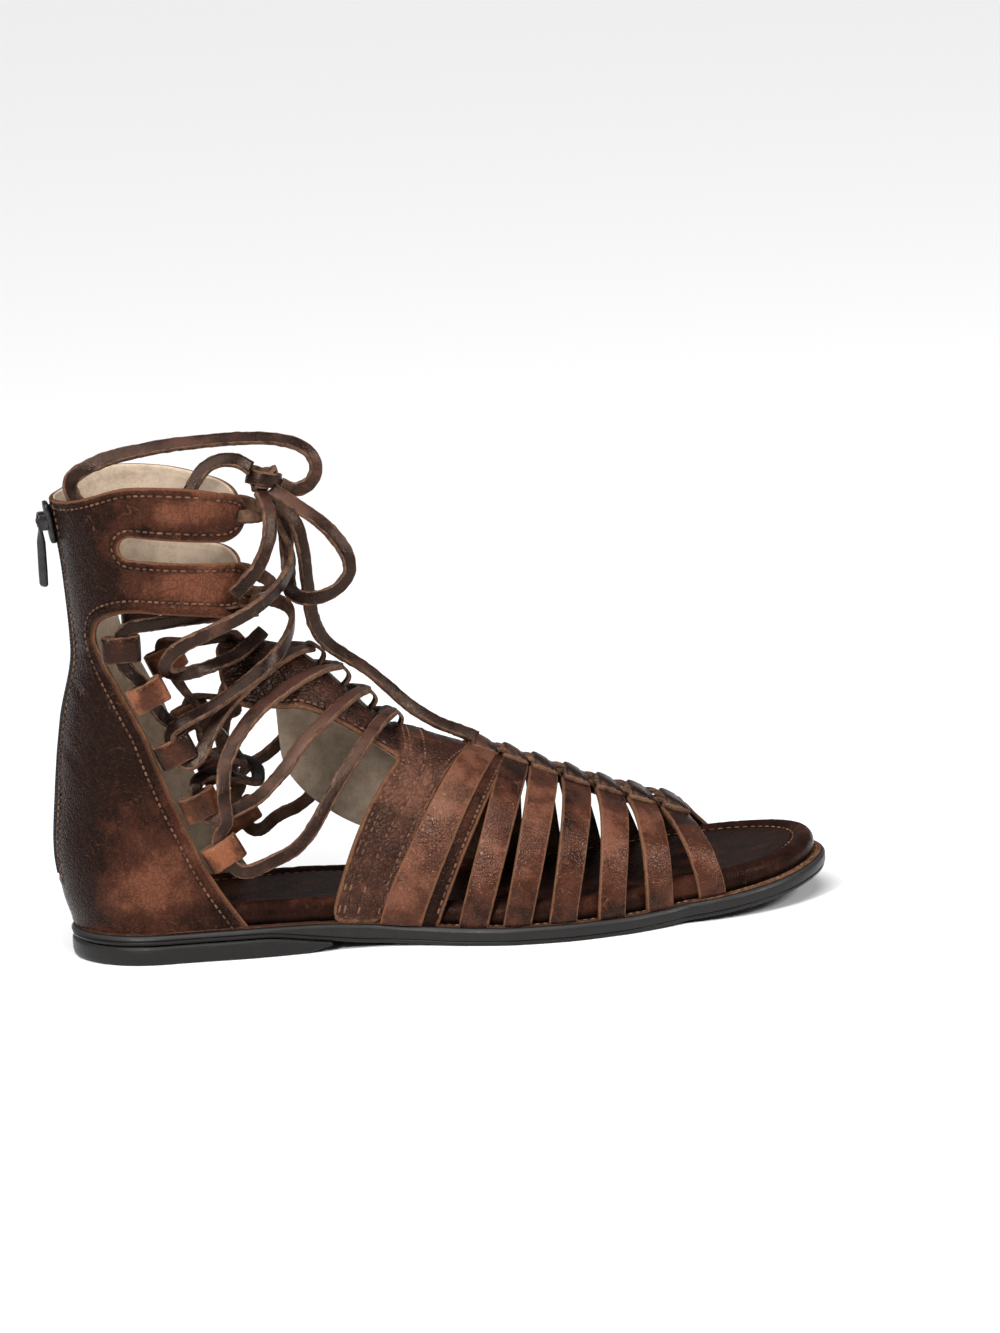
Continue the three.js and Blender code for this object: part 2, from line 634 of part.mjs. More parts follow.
// One folded loop at a quarter's front edge; its tunnel runs along the edge.
function laceLoop(row, side) {
  const shape = stadium(new THREE.Shape(), LOOP.length, LOOP.thickness);
  shape.holes.push(stadium(new THREE.Path(), LOOP.tunnelLength, LOOP.tunnelHeight));
  const geometry = new THREE.ExtrudeGeometry(shape, { depth: LOOP.width, bevelEnabled: false, curveSegments: 2 });
  geometry.translate(0, 0, -LOOP.width / 2);
  const turn = row.turn * Math.PI / 180;
  geometry.rotateY(-turn);
  const edge = row.edge + (side < 0 ? 0 : MEDIAL_ADVANCE);
  const half = shaftHalf(row.height) - SHAFT_WALL / 2;
  const centre = edge + LOOP.reach * Math.cos(turn);
  const rear = (centre - shaftCentre(row.height)) / (shaftCentre(row.height) - shaftBack(row.height));
  const inwards = row.edge < 20 ? half * (1 - Math.sqrt(1 - Math.min(0.9, rear * rear))) : 0;
  geometry.translate(centre, side * (half - inwards * 0.6), row.height + LOOP.reach * Math.sin(turn));
  return geometry;
}

// A leather arch along the ridge that holds one bar of the lace down on the tongue.
function laceKeeper(row, bar) {
  const shape = new THREE.Shape();
  const outer = [[5, 0], [4.9, 4.6], [3.6, 6], [-3.6, 6], [-4.9, 4.6], [-5, 0]];
  const inner = [[-4, 0], [-3.9, 4], [-3.2, 4.8], [3.2, 4.8], [3.9, 4], [4, 0]];
  shape.setFromPoints([...outer, ...inner].map(([x, y]) => new THREE.Vector2(x, y)));
  const geometry = new THREE.ExtrudeGeometry(shape, { depth: 6, bevelEnabled: false });
  geometry.translate(0, 0, -3);
  geometry.rotateX(Math.PI / 2);
  const slope = Math.atan2(ridgeHeight(row.at + 1) - ridgeHeight(row.at - 1), 2);
  geometry.rotateY(-slope);
  const here = footPoint(row.at, 0);
  geometry.translate(here.x, here.y, here.z);
  const cover = (u, v) => footPoint(row.at - 9 + 18 * v, (0.5 - u) * 0.5);
  const tongue = solid(leatherSheet(cover, 5, 4, 4, PIECE_GAP));
  return mainBody(solid(geometry).subtract(tongue).subtract(solid(flatLace(bar, BAR_STEPS, 2 * PIECE_GAP))));
}

const tongueLateral = through(TONGUE, 'lateral');
const tongueMedial = through(TONGUE, 'medial');

// A point of a lace, moved out of the foot's face where it would sink into the tongue or the band.
function restOnTongue(place) {
  const side = place.y < RIDGE_Y ? -1 : 1;
  const reach = (side < 0 ? lateralReach(place.x) : medialReach(place.x)) - RIDGE_Y;
  const share = (place.y - RIDGE_Y) / reach;
  if (share >= 0.97 || place.x < TONGUE[0].at - 3) {
    return place;
  }
  const turn = side * Math.asin(share ** (sectionPower(place.x) / 2)) * 2 / Math.PI;
  const edge = side < 0 ? tongueLateral(place.x) : tongueMedial(place.x);
  if (Math.abs(turn) > edge + 0.12) {
    return place;
  }
  const step = 0.02;
  const along = footPoint(place.x + step, turn).sub(footPoint(place.x - step, turn));
  const around = footPoint(place.x, turn + step).sub(footPoint(place.x, turn - step));
  const normal = along.cross(around).normalize();
  const depth = place.clone().sub(footPoint(place.x, turn)).dot(normal);
  return place.addScaledVector(normal, Math.max(0, LACE_REST - depth));
}

// The direction out from the foot below the ankle, and out from the leg above it.
function outward(place) {
  const leg = THREE.MathUtils.smoothstep(place.z, 92, 112);
  const foot = new THREE.Vector3(0, place.y - RIDGE_Y, place.z - 40).normalize();
  return foot.lerp(new THREE.Vector3(place.x - 36, place.y, 0).normalize(), leg).normalize();
}

// A flat lace along a route, its flat side turned out from the foot and the leg; room makes it thicker.
function flatLace(route, steps, room = 0) {
  const curve = new THREE.CatmullRomCurve3(route.map((point) => new THREE.Vector3(...point)), false, 'centripetal');
  const points = [];
  const rings = [];
  for (let i = 0; i <= steps; i += 1) {
    const here = restOnTongue(curve.getPointAt(i / steps));
    const along = curve.getTangentAt(i / steps);
    const out = outward(here);
    const across = new THREE.Vector3().crossVectors(along, out).normalize();
    const normal = new THREE.Vector3().crossVectors(across, along).normalize();
    const ring = [[-1, -1], [1, -1], [1, 1], [-1, 1]].map(([a, b]) => {
      const corner = here.clone().addScaledVector(across, a * (LACE_WIDTH + room) / 2);
      points.push(corner.addScaledVector(normal, b * (LACE_THICKNESS + room) / 2));
      return points.length - 1;
    });
    rings.push([...ring, ring[0]]);
  }
  const triangles = [];
  for (let i = 0; i < steps; i += 1) {
    triangles.push(...ladder(rings[i], rings[i + 1]));
  }
  const [a, b, c, d] = rings[0];
  const [e, f, g, h] = rings[steps];
  triangles.push([a, d, c], [a, c, b], [e, f, g], [e, g, h]);
  return closedMesh(points, triangles);
}

// A bar from the outer loops over the ridge to the inner loops, which sit further forward.
function wholeBar(half) {
  const inner = half.slice(1).map(([x, y, z], i) => {
    const share = (i + 1) / (half.length - 1);
    return [x + MEDIAL_ADVANCE * share, 2 * RIDGE_Y - y, z];
  });
  return [...inner.reverse(), ...half];
}

// A free cord: a flat section of eight sides along its route.
function cordTube(route) {
  const shape = new THREE.Shape();
  const halfWidth = LACE_WIDTH / 2;
  const halfDepth = LACE_THICKNESS / 2;
  const corners = [[1, 0.4], [0.7, 1], [-0.7, 1], [-1, 0.4], [-1, -0.4], [-0.7, -1], [0.7, -1], [1, -0.4]];
  shape.setFromPoints(corners.map(([a, b]) => new THREE.Vector2(a * halfWidth, b * halfDepth)));
  const path = new THREE.CatmullRomCurve3(route.map((point) => new THREE.Vector3(...point)), false, 'centripetal');
  const steps = Math.ceil(path.getLength() / CORD_STEP);
  return new THREE.ExtrudeGeometry(shape, { steps, bevelEnabled: false, extrudePath: path });
}

function knotBall() {
  const geometry = new THREE.SphereGeometry(KNOT.radius, 10, 7);
  geometry.scale(0.9, 0.9, 1);
  geometry.translate(KNOT.x, KNOT.y, KNOT.z);
  return geometry;
}

const heelEnd = Math.acos(1 - 2 * LIFT.length / SOLE_LENGTH) / Math.PI;
const liftFoot = (x) => Math.max(0, (x - LIFT.flat) * LIFT.slope);
const footbedTop = (rise) => (x) => soleOver(x) + rise;

const outsole = soleSlab([
  { inset: 1.2, height: soleUnder },
  { inset: 0.1, height: (x) => soleUnder(x) + 1.2 },
  { inset: 0, height: (x) => soleOver(x) - 1.2 },
  { inset: 0.9, height: soleOver },
], 30);
const heelLift = soleSlab([
  { inset: 1.6, height: liftFoot },
  { inset: 0.3, height: (x) => liftFoot(x) + 1 },
  { inset: 0.5, height: (x) => soleUnder(x) - PIECE_GAP },
], 16, heelEnd);
const footbed = soleSlab([
  { inset: 6, height: footbedTop(PIECE_GAP) },
  { inset: 4.4, height: footbedTop(2.4) },
  { inset: 4.6, height: footbedTop(5.6) },
  { inset: 7, height: footbedTop(8.2) },
  { inset: 10.5, height: footbedTop(6.8) },
], 28);

const sandal = new THREE.Group();

function addPiece(name, shape, finish) {
  const geometry = shape instanceof THREE.BufferGeometry ? shape : geometryOf(shape);
  const mesh = new THREE.Mesh(geometry, new THREE.MeshStandardMaterial(COLOURS[finish]));
  mesh.name = name;
  sandal.add(mesh);
}

addPiece('outsole', outsole, 'rubber');
addPiece('heel_lift', heelLift, 'rubber');
addPiece('footbed', footbed, 'insole_leather');
addPiece('vamp', vampSolid(), 'leather');
addPiece('quarter', quarterSolid(), 'leather');
addPiece('zip_tape', zipTape(), 'zip_tape');
addPiece('zip_slider', zipSlider(), 'zip_metal');
addPiece('zip_pull', zipPull(), 'zip_metal');
LACE_LOOPS.forEach((row, i) => {
  addPiece(`lace_loop_outer_${i + 1}`, laceLoop(row, -1), 'light_leather');
  addPiece(`lace_loop_inner_${i + 1}`, laceLoop(row, 1), 'light_leather');
});
LACE_BARS.map(wholeBar).forEach((bar, i) => {
  addPiece(`lace_bar_${i + 1}`, flatLace(bar, BAR_STEPS), 'lace_leather');
  addPiece(`lace_keeper_${i + 1}`, laceKeeper(KEEPERS[i], bar), 'leather');
});
UPPER_BARS.forEach((route, i) => addPiece(`lace_run_${i + 1}`, flatLace(route, RUN_STEPS), 'lace_leather'));
COLLAR_BARS.forEach((route, i) => addPiece(`lace_cross_${i + 1}`, flatLace(route, CROSS_STEPS), 'lace_leather'));
addPiece('lace_knot', knotBall(), 'lace_leather');
for (const [name, route] of Object.entries(CORDS)) {
  addPiece(name, cordTube(route), 'lace_leather');
}

// The origin: under the middle of the sandal without its knot and free cords.
const freeCords = new Set(['lace_knot', ...Object.keys(CORDS)]);
const bounds = new THREE.Box3();
for (const mesh of sandal.children.filter((child) => !freeCords.has(child.name))) {
  bounds.expandByObject(mesh, true);
}
const centre = bounds.getCenter(new THREE.Vector3());
sandal.position.set(-centre.x, -centre.y, -bounds.min.z);

export default sandal;
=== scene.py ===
"""A woman's flat gladiator sandal for the right foot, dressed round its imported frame.

Lengths are in millimetres on the sandal's own last: X from the heel's back to the toe, -Y the outer side and
+Y the inner side, Z = 0 the ground. They become the frame's metres only when a mesh is made.
"""

import logging
import math
from dataclasses import dataclass, field
from enum import IntEnum
from functools import cache
from typing import Callable, Iterable, NamedTuple, Sequence

import bpy
import numpy as np
from mathutils import Matrix, Vector
from mathutils.geometry import delaunay_2d_cdt


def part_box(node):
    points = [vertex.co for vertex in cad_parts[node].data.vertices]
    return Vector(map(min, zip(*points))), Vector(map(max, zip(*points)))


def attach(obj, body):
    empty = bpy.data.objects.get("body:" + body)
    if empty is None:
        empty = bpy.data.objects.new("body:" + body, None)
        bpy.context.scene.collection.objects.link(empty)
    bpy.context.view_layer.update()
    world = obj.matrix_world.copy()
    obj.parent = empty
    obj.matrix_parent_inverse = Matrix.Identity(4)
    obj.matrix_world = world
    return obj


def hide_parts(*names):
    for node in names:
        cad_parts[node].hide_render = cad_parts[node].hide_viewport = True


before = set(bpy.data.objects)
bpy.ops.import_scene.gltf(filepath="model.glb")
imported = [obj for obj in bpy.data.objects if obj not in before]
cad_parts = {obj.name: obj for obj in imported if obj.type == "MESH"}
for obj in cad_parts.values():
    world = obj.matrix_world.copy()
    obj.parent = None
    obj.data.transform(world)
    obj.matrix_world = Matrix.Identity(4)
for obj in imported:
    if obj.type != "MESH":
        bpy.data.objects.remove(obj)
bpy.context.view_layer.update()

LOG = logging.getLogger("sandal")
MM = 0.001
SEED = 11
FAR = 9.0
MESH_PITCH = 1.5
Array = np.ndarray
Colour = tuple[float, float, float]
Surface = Callable[[Array, Array], tuple[Array, Array]]

ORIGIN = Vector((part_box("outsole")[0].x, sum(corner.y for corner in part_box("zip_tape")) / 2, 0.0))


class Layer(IntEnum):
    """The three faces of a cut sheet, which are also its material slots."""

    FACE = 0
    LINING = 1
    CUT = 2


# ---------------------------------------------------------------- plain geometry

def unit(vectors: Array) -> Array:
    """Returns the vectors scaled to length one."""
    return vectors / np.maximum(np.linalg.norm(vectors, axis=-1, keepdims=True), 1e-12)


def smoothstep(x: Array, low: float, high: float) -> Array:
    """Returns 0 below low, 1 above high, and a smooth rise between."""
    t = np.clip((np.asarray(x, float) - low) / (high - low), 0, 1)
    return t * t * (3 - 2 * t)


def bump(x: Array, width: float) -> Array:
    """Returns a bell curve of that half width, 1 at x = 0."""
    return np.exp(-((np.asarray(x, float) / width) ** 2))


def through(rows: Sequence[NamedTuple], column: str) -> Callable[[Array], Array]:
    """Makes a smooth curve through one column of a table that never overshoots a row.

    Args:
        rows: The table's rows, each with a field "at".
        column: The field that the curve goes through.

    Returns:
        A function from "at" to the column's value.
    """
    xs = np.array([row.at for row in rows], float)
    ys = np.array([getattr(row, column) for row in rows], float)
    secants = np.diff(ys) / np.diff(xs)
    before = np.r_[secants[0], secants]
    after = np.r_[secants, secants[-1]]
    same = before * after > 0
    slopes = np.where(same, 2 * before * after / np.where(same, before + after, 1), 0)

    def curve(x: Array) -> Array:
        """Returns the column's value at x."""
        x = np.clip(np.asarray(x, float), xs[0], xs[-1])
        i = np.clip(np.searchsorted(xs, x, side="left") - 1, 0, len(xs) - 2)
        span = xs[i + 1] - xs[i]
        t = (x - xs[i]) / span
        rise = ys[i] * (2 * t**3 - 3 * t**2 + 1) + ys[i + 1] * (3 * t**2 - 2 * t**3)
        return rise + span * (slopes[i] * (t**3 - 2 * t**2 + t) + slopes[i + 1] * (t**3 - t**2))

    return curve


def spline(route: Sequence[Sequence[float]], pitch: float = 1.0) -> Array:
    """Runs a centripetal curve through a route's points.

    Args:
        route: The points that the curve passes.
        pitch: The spacing of the result.

    Returns:
        Evenly spaced points.
    """
    p = np.asarray(route, float)
    p = np.vstack([2 * p[0] - p[1], p, 2 * p[-1] - p[-2]])
    out = []
    for a, b, c, d in zip(p, p[1:], p[2:], p[3:]):
        d0, d1, d2 = (math.sqrt(np.linalg.norm(v)) for v in (b - a, c - b, d - c))
        m1 = ((b - a) / d0 - (c - a) / (d0 + d1) + (c - b) / d1) * d1
        m2 = ((c - b) / d1 - (d - b) / (d1 + d2) + (d - c) / d2) * d1
        t = np.linspace(0, 1, 24, endpoint=False)[:, None]
        out.append(b + m1 * t + (3 * (c - b) - 2 * m1 - m2) * t**2 + (2 * (b - c) + m1 + m2) * t**3)
    return resample(np.vstack([*out, p[-2:-1]]), pitch)


def resample(path: Array, pitch: float) -> Array:
    """Spaces a path's points evenly, keeping its two ends."""
    path = np.asarray(path, float)
    run = np.r_[0, np.cumsum(np.linalg.norm(np.diff(path, axis=0), axis=1))]
    count = max(2, round(run[-1] / pitch) + 1)
    at = np.linspace(0, run[-1], count)
    return np.stack([np.interp(at, run, path[:, k]) for k in range(path.shape[1])], 1)


def arc(a: Sequence[float], control: Sequence[float], b: Sequence[float], count: int = 10) -> Array:
    """Returns points on the quadratic curve from a to b that bends towards control."""
    t = np.linspace(0, 1, count)[:, None]
    return (1 - t) ** 2 * np.array(a) + 2 * t * (1 - t) * np.array(control) + t**2 * np.array(b)


def arcs(start: Sequence[float], *bends: Sequence) -> Array:
    """Chains such curves, each given as the point that it bends towards and the point where it ends."""
    lines = [np.array([start])]
    for control, end in bends:
        lines.append(arc(lines[-1][-1], control, end)[1:])
    return np.vstack(lines)


def smoothed(values: Array, reach: int) -> Array:
    """Averages each value with those within reach of it."""
    span = 2 * reach + 1
    return np.convolve(np.pad(values, reach, "edge"), np.ones(span) / span, "valid")


def squared_off(wave: Array, power: float) -> Array:
    """Flattens a cosine or sine, so that a round section gets corners."""
    return np.sign(wave) * np.abs(wave) ** power


def grid_faces(columns: int, rows: int) -> Array:
    """Returns the squares between a grid's columns and rows of points."""
    i, j = np.meshgrid(np.arange(columns - 1), np.arange(rows - 1))
    first = (j * columns + i).ravel()
    return np.stack([first, first + 1, first + columns + 1, first + columns], 1)


def distance_to(points: Array, path: Array) -> Array:
    """Returns each point's distance to a flat polyline."""
    a, b = path[:-1], path[1:]
    along = b - a
    size = np.maximum((along**2).sum(1), 1e-12)
    out = np.empty(len(points))
    for start in range(0, len(points), 4000):
        q = points[start : start + 4000, None, :]
        t = np.clip(((q - a) * along).sum(2) / size, 0, 1)
        out[start : start + 4000] = np.sqrt((((a + along * t[..., None]) - q) ** 2).sum(2).min(1))
    return out


def inside(points: Array, loops: Sequence[Array]) -> Array:
    """Tells which points lie inside an outline and outside its holes, by even and odd crossings."""
    odd = np.zeros(len(points), bool)
    for loop in loops:
        a, b = loop[:-1], loop[1:]
        for start in range(0, len(points), 4000):
            x, y = points[start : start + 4000, 0, None], points[start : start + 4000, 1, None]
            crosses = (a[:, 1] > y) != (b[:, 1] > y)
            rise = np.where(b[:, 1] == a[:, 1], 1, b[:, 1] - a[:, 1])
            hit = x < (b[:, 0] - a[:, 0]) * (y - a[:, 1]) / rise + a[:, 0]
            odd[start : start + 4000] ^= (np.count_nonzero(crosses & hit, axis=1) % 2).astype(bool)
    return odd


def moved_left(path: Array, amount: float) -> Array:
    """Returns a flat path moved to its own left by an amount."""
    step = np.gradient(path, axis=0)
    normal = unit(np.stack([-step[:, 1], step[:, 0]], 1))
    return path + normal * amount


# ---------------------------------------------------------------- the last

class SoleRow(NamedTuple):
    """One section of the sole: half widths, underside and top of the outsole."""

    at: float
    lateral: float
    medial: float
    under: float
    over: float


class HeightRow(NamedTuple):
    """A height along a line."""

    at: float
    height: float


class EdgeRow(NamedTuple):
    """Two edges along a line."""

    at: float
    lateral: float
    medial: float


class ShaftRow(NamedTuple):
    """One horizontal section of the shaft."""

    at: float
    back: float
    centre: float
    half: float
    front: float


class BandRow(NamedTuple):
    """The band's back and front edge at one share of the quarter turn."""

    at: float
    back: float
    front: float


class StrapRow(NamedTuple):
    """Where a strap lands outside, crosses the ridge and lands inside, and its width."""

    lateral: float
    ridge: float
    medial: float
    width: float

    def line(self, turn: Array) -> Array:
        """Returns the x of the strap's middle at a signed turn."""
        landing = np.where(turn < 0, self.lateral, self.medial)
        return self.ridge + (landing - self.ridge) * np.abs(turn) ** 1.25


class LoopRow(NamedTuple):
    """A pair of lace loops: height, place on the quarter's front edge, tilt in degrees, and tone."""

    height: float
    edge: float
    turn: float
    tone: float


SOLE = [SoleRow(*row) for row in (
    (0, 29, 29, 6.6, 10), (30, 29, 29, 6.6, 10), (60, 30.5, 31, 6.6, 10),
    (80, 29.5, 34, 4.0, 9.4), (97, 28.7, 37.5, 1.6, 7.8), (112, 32, 39, 0.6, 6.6),
    (128, 38.5, 39.5, 0, 6), (145, 43.6, 41, 0, 5.8), (160, 44.5, 44.5, 0, 5.8),
    (180, 41.5, 50, 0, 5.8), (195, 36.4, 53.5, 0.4, 6.2), (205, 32.5, 54.5, 1.0, 6.8),
    (235, 32.5, 54.5, 4.2, 10), (258, 32.5, 54.5, 8.4, 14),
)]
RIDGE = [HeightRow(*row) for row in (
    (52, 101), (66, 101), (78, 98.5), (88, 92), (96, 84),
    (104, 76), (112, 69), (126, 64), (143, 57.5), (162, 49.5),
    (183, 40.8), (206, 32.5), (226, 24),
)]
INSTEP = [EdgeRow(52, -38, 40), EdgeRow(64, -30, 35), EdgeRow(76, -26, 32.5)]
SHAFT = [ShaftRow(*row) for row in (
    (10, 1.6, 34, 28.2, 400), (22, -2.2, 34, 29.6, 300), (36, -4, 34, 30.2, 220),
    (55, -2.5, 34, 30.2, 150), (80, 0.8, 35, 30.4, 90), (104, 5.8, 36, 30.4, 52),
    (130, 4.6, 35, 29, 35), (158, 0.8, 33, 27, 34),
)]
COLLAR = [HeightRow(*row) for row in (
    (-5, 154), (3, 154.6), (26, 160), (42, 158.6), (56, 155.4),
    (66, 149),
)]
STRAPS = [StrapRow(*row) for row in (
    (212.5, 205.6, 225, 9.4), (193.6, 194.4, 211.3, 9.4), (176.3, 183.8, 198, 9.4),
    (159.5, 172.8, 183.5, 9.4), (144.2, 162.2, 169, 9.4), (130, 152.6, 154.8, 9.4),
    (108, 143, 140.5, 13),
)]
BAND = [BandRow(*row) for row in (
    (-1, 84, 101), (-0.74, 96, 112), (-0.5, 106, 121.5), (-0.3, 112, 129),
    (0, 113, 138.5), (0.4, 112, 137), (0.7, 110, 132.5), (1, 106, 126),
)]
TONGUE = [EdgeRow(*row) for row in (
    (53.5, 0.3, -0.08), (57, 0.4, 0.06), (66, 0.44, 0.16), (74, 0.44, 0.3),
    (77, 0.43, 0.7), (90, 0.4, 0.8), (104, 0.35, 0.83), (118, 0.32, 0.84),
)]
LACE_LOOPS = [LoopRow(*row) for row in (
    (107, 12.4, 0, -0.9), (88.5, 20.8, 24, 0.5), (69, 28.6, 24, -0.2), (50.5, 35.8, 22, 0.0),
    (33, 42.8, 28, 0.9),
)]
KEEPERS = [111, 102.5, 94, 86]


@dataclass(frozen=True)
class Last:
    """The foot and leg that the sandal is made round."""

    length: float = 258
    heel_radius: float = 29
    toe_start: float = 205
    gap: float = 0.3
    inset: float = 1.6
    ridge_y: float = 5
    collar_reach: float = 66
    rear_share: float = 0.62
    advance: float = 12
    turn_length: float = 75
    shaft_length: float = 80
    under: Callable = field(default=through(SOLE, "under"))
    over: Callable = field(default=through(SOLE, "over"))
    lateral: Callable = field(default=through(SOLE, "lateral"))
    medial: Callable = field(default=through(SOLE, "medial"))
    ridge: Callable = field(default=through(RIDGE, "height"))
    back: Callable = field(default=through(SHAFT, "back"))
    centre: Callable = field(default=through(SHAFT, "centre"))
    half: Callable = field(default=through(SHAFT, "half"))
    front: Callable = field(default=through(SHAFT, "front"))
    collar: Callable = field(default=through(COLLAR, "height"))

    def sole_edge(self, side: int, x: Array) -> Array:
        """Returns the sole's edge on one side (-1 outer, +1 inner) at x."""
        x = np.asarray(x, float)
        heel = np.clip((self.heel_radius - x) / self.heel_radius, 0, 1)
        toe = np.clip((x - self.toe_start) / (self.length - self.toe_start), 0, 1)
        rounding = np.sqrt(np.maximum(0, 1 - heel**2)) * np.sqrt(np.maximum(0, 1 - toe**2))
        middle = np.where(x > self.toe_start, (self.medial(x) - self.lateral(x)) / 2, 0)
        reach = -self.lateral(x) if side < 0 else self.medial(x)
        return middle + (reach - middle) * rounding

    def sole_point(self, side: int, share: Array, inset: float) -> Array:
        """Returns points of the sole's outline, moved in by an inset.

        Args:
            side: -1 for the outer side, +1 for the inner.
            share: Shares of the way from heel to toe.
            inset: How far the points move in.

        Returns:
            One X, Y pair for each share.
        """
        share = np.asarray(share, float)

        def place(s: Array) -> Array:
            """Returns the outline's point at a share."""
            x = self.length * (1 - np.cos(np.pi * s)) / 2
            return np.stack([x, self.sole_edge(side, x)], -1)

        step = 1e-3
        tangent = unit(place(np.minimum(share + step, 1)) - place(np.maximum(share - step, 0)))
        ends = np.where(share < step, side, -side)
        flat = np.stack([np.zeros_like(share), ends], -1)
        tangent = np.where(((share < step) | (share > 1 - step))[..., None], flat, tangent)
        return place(share) + np.stack([-tangent[..., 1], tangent[..., 0]], -1) * (-side * inset)

    def reach(self, side: int) -> Callable[[Array], Array]:
        """Makes the line on which the upper lands, on one side."""
        name = "lateral" if side < 0 else "medial"
        rows = [HeightRow(row.at, getattr(row, name)) for row in INSTEP]
        for row in SOLE:
            if 78 < row.at <= self.toe_start:
                rows.append(HeightRow(row.at, side * (getattr(row, name) - self.inset)))
        for at in (215, 226):
            rows.append(HeightRow(at, float(self.sole_edge(side, at)) - side * (self.inset + 0.6)))
        return through(rows, "height")

    def power(self, x: Array) -> Array:
        """Returns how square the foot's section is at x."""
        return 2.2 + 0.8 * smoothstep(x, 150, 212)

    def foot(self, x: Array, turn: Array) -> Array:
        """Returns the foot's face at x: turn is -1 at the outer landing, 0 on the ridge, +1 at the inner."""
        x, turn = np.broadcast_arrays(np.asarray(x, float), np.asarray(turn, float))
        angle = np.abs(turn) * np.pi / 2
        reach = np.where(turn < 0, OUTER_REACH(x), INNER_REACH(x)) - self.ridge_y
        base = self.over(x) + self.gap
        power = self.power(x)
        out = np.maximum(np.sin(angle), 0) ** (2 / power)
        up = np.maximum(np.cos(angle), 0) ** (2 / power)
        return np.stack([x, self.ridge_y + reach * out, base + (self.ridge(x) - base) * up], -1)

    def shaft(self, turn: Array, z: Array) -> Array:
        """Returns the shaft's face at a height, from -1 at the outer strap's end round the back to +1."""
        turn, z = np.broadcast_arrays(np.asarray(turn, float), np.asarray(z, float))
        side = np.where(turn < 0, -1, 1)
        share = np.abs(turn)
        centre, half, reach = self.centre(z), self.half(z), self.front(z)
        rear_angle = np.minimum(share / self.rear_share, 1) * np.pi / 2
        last = np.arcsin(np.minimum(0.97, (self.collar_reach - centre) / reach))
        angle = np.maximum(share - self.rear_share, 0) / (1 - self.rear_share) * last
        ahead = share > self.rear_share
        rear_x = centre - (centre - self.back(z)) * np.cos(rear_angle)
        x = np.where(ahead, centre + reach * np.sin(angle), rear_x)
        spread = np.where(side < 0, self.lateral(x), self.medial(x)) - self.heel_radius
        low = 1 - smoothstep(z, 10, 46)
        y = np.where(ahead, half * np.cos(angle) + spread * low, half * np.sin(rear_angle))
        return np.stack([x, side * y, z], -1)

    def shaft_turn(self, x: Array, z: Array) -> Array:
        """Returns the unsigned turn at which the shaft reaches x at a height."""
        x, z = np.asarray(x, float), np.asarray(z, float)
        centre, reach = self.centre(z), self.front(z)
        rear = np.clip((centre - x) / (centre - self.back(z)), -1, 1)
        behind = np.arccos(rear) / (np.pi / 2) * self.rear_share
        last = np.arcsin(np.minimum(0.97, (self.collar_reach - centre) / reach))
        angle = np.arcsin(np.clip((x - centre) / reach, -1, 1))
        return np.where(x <= centre, behind, self.rear_share + (1 - self.rear_share) * angle / last)

    def foot_sheet(self, x: Array, s: Array) -> tuple[Array, Array]:
        """Returns the foot's points and outward normals, s being millimetres round from the ridge."""
        turn = np.clip(np.asarray(s, float) / self.turn_length, -1, 1)
        step = 2e-3
        along = self.foot(np.asarray(x) + 0.1, turn) - self.foot(np.asarray(x) - 0.1, turn)
        around = self.foot(x, np.minimum(turn + step, 1)) - self.foot(x, np.maximum(turn - step, -1))
        return self.foot(x, turn), unit(np.cross(along, around))

    def shaft_sheet(self, a: Array, z: Array) -> tuple[Array, Array]:
        """Returns the shaft's points and outward normals, a being millimetres round from the zip."""
        turn = np.asarray(a, float) / self.shaft_length
        step = 2e-3
        around = self.shaft(turn + step, z) - self.shaft(turn - step, z)
        up = self.shaft(turn, np.asarray(z) + 0.2) - self.shaft(turn, np.asarray(z) - 0.2)
        return self.shaft(turn, z), unit(np.cross(up, around))


LAST = Last()
OUTER_REACH = LAST.reach(-1)
INNER_REACH = LAST.reach(1)


# ---------------------------------------------------------------- meshes

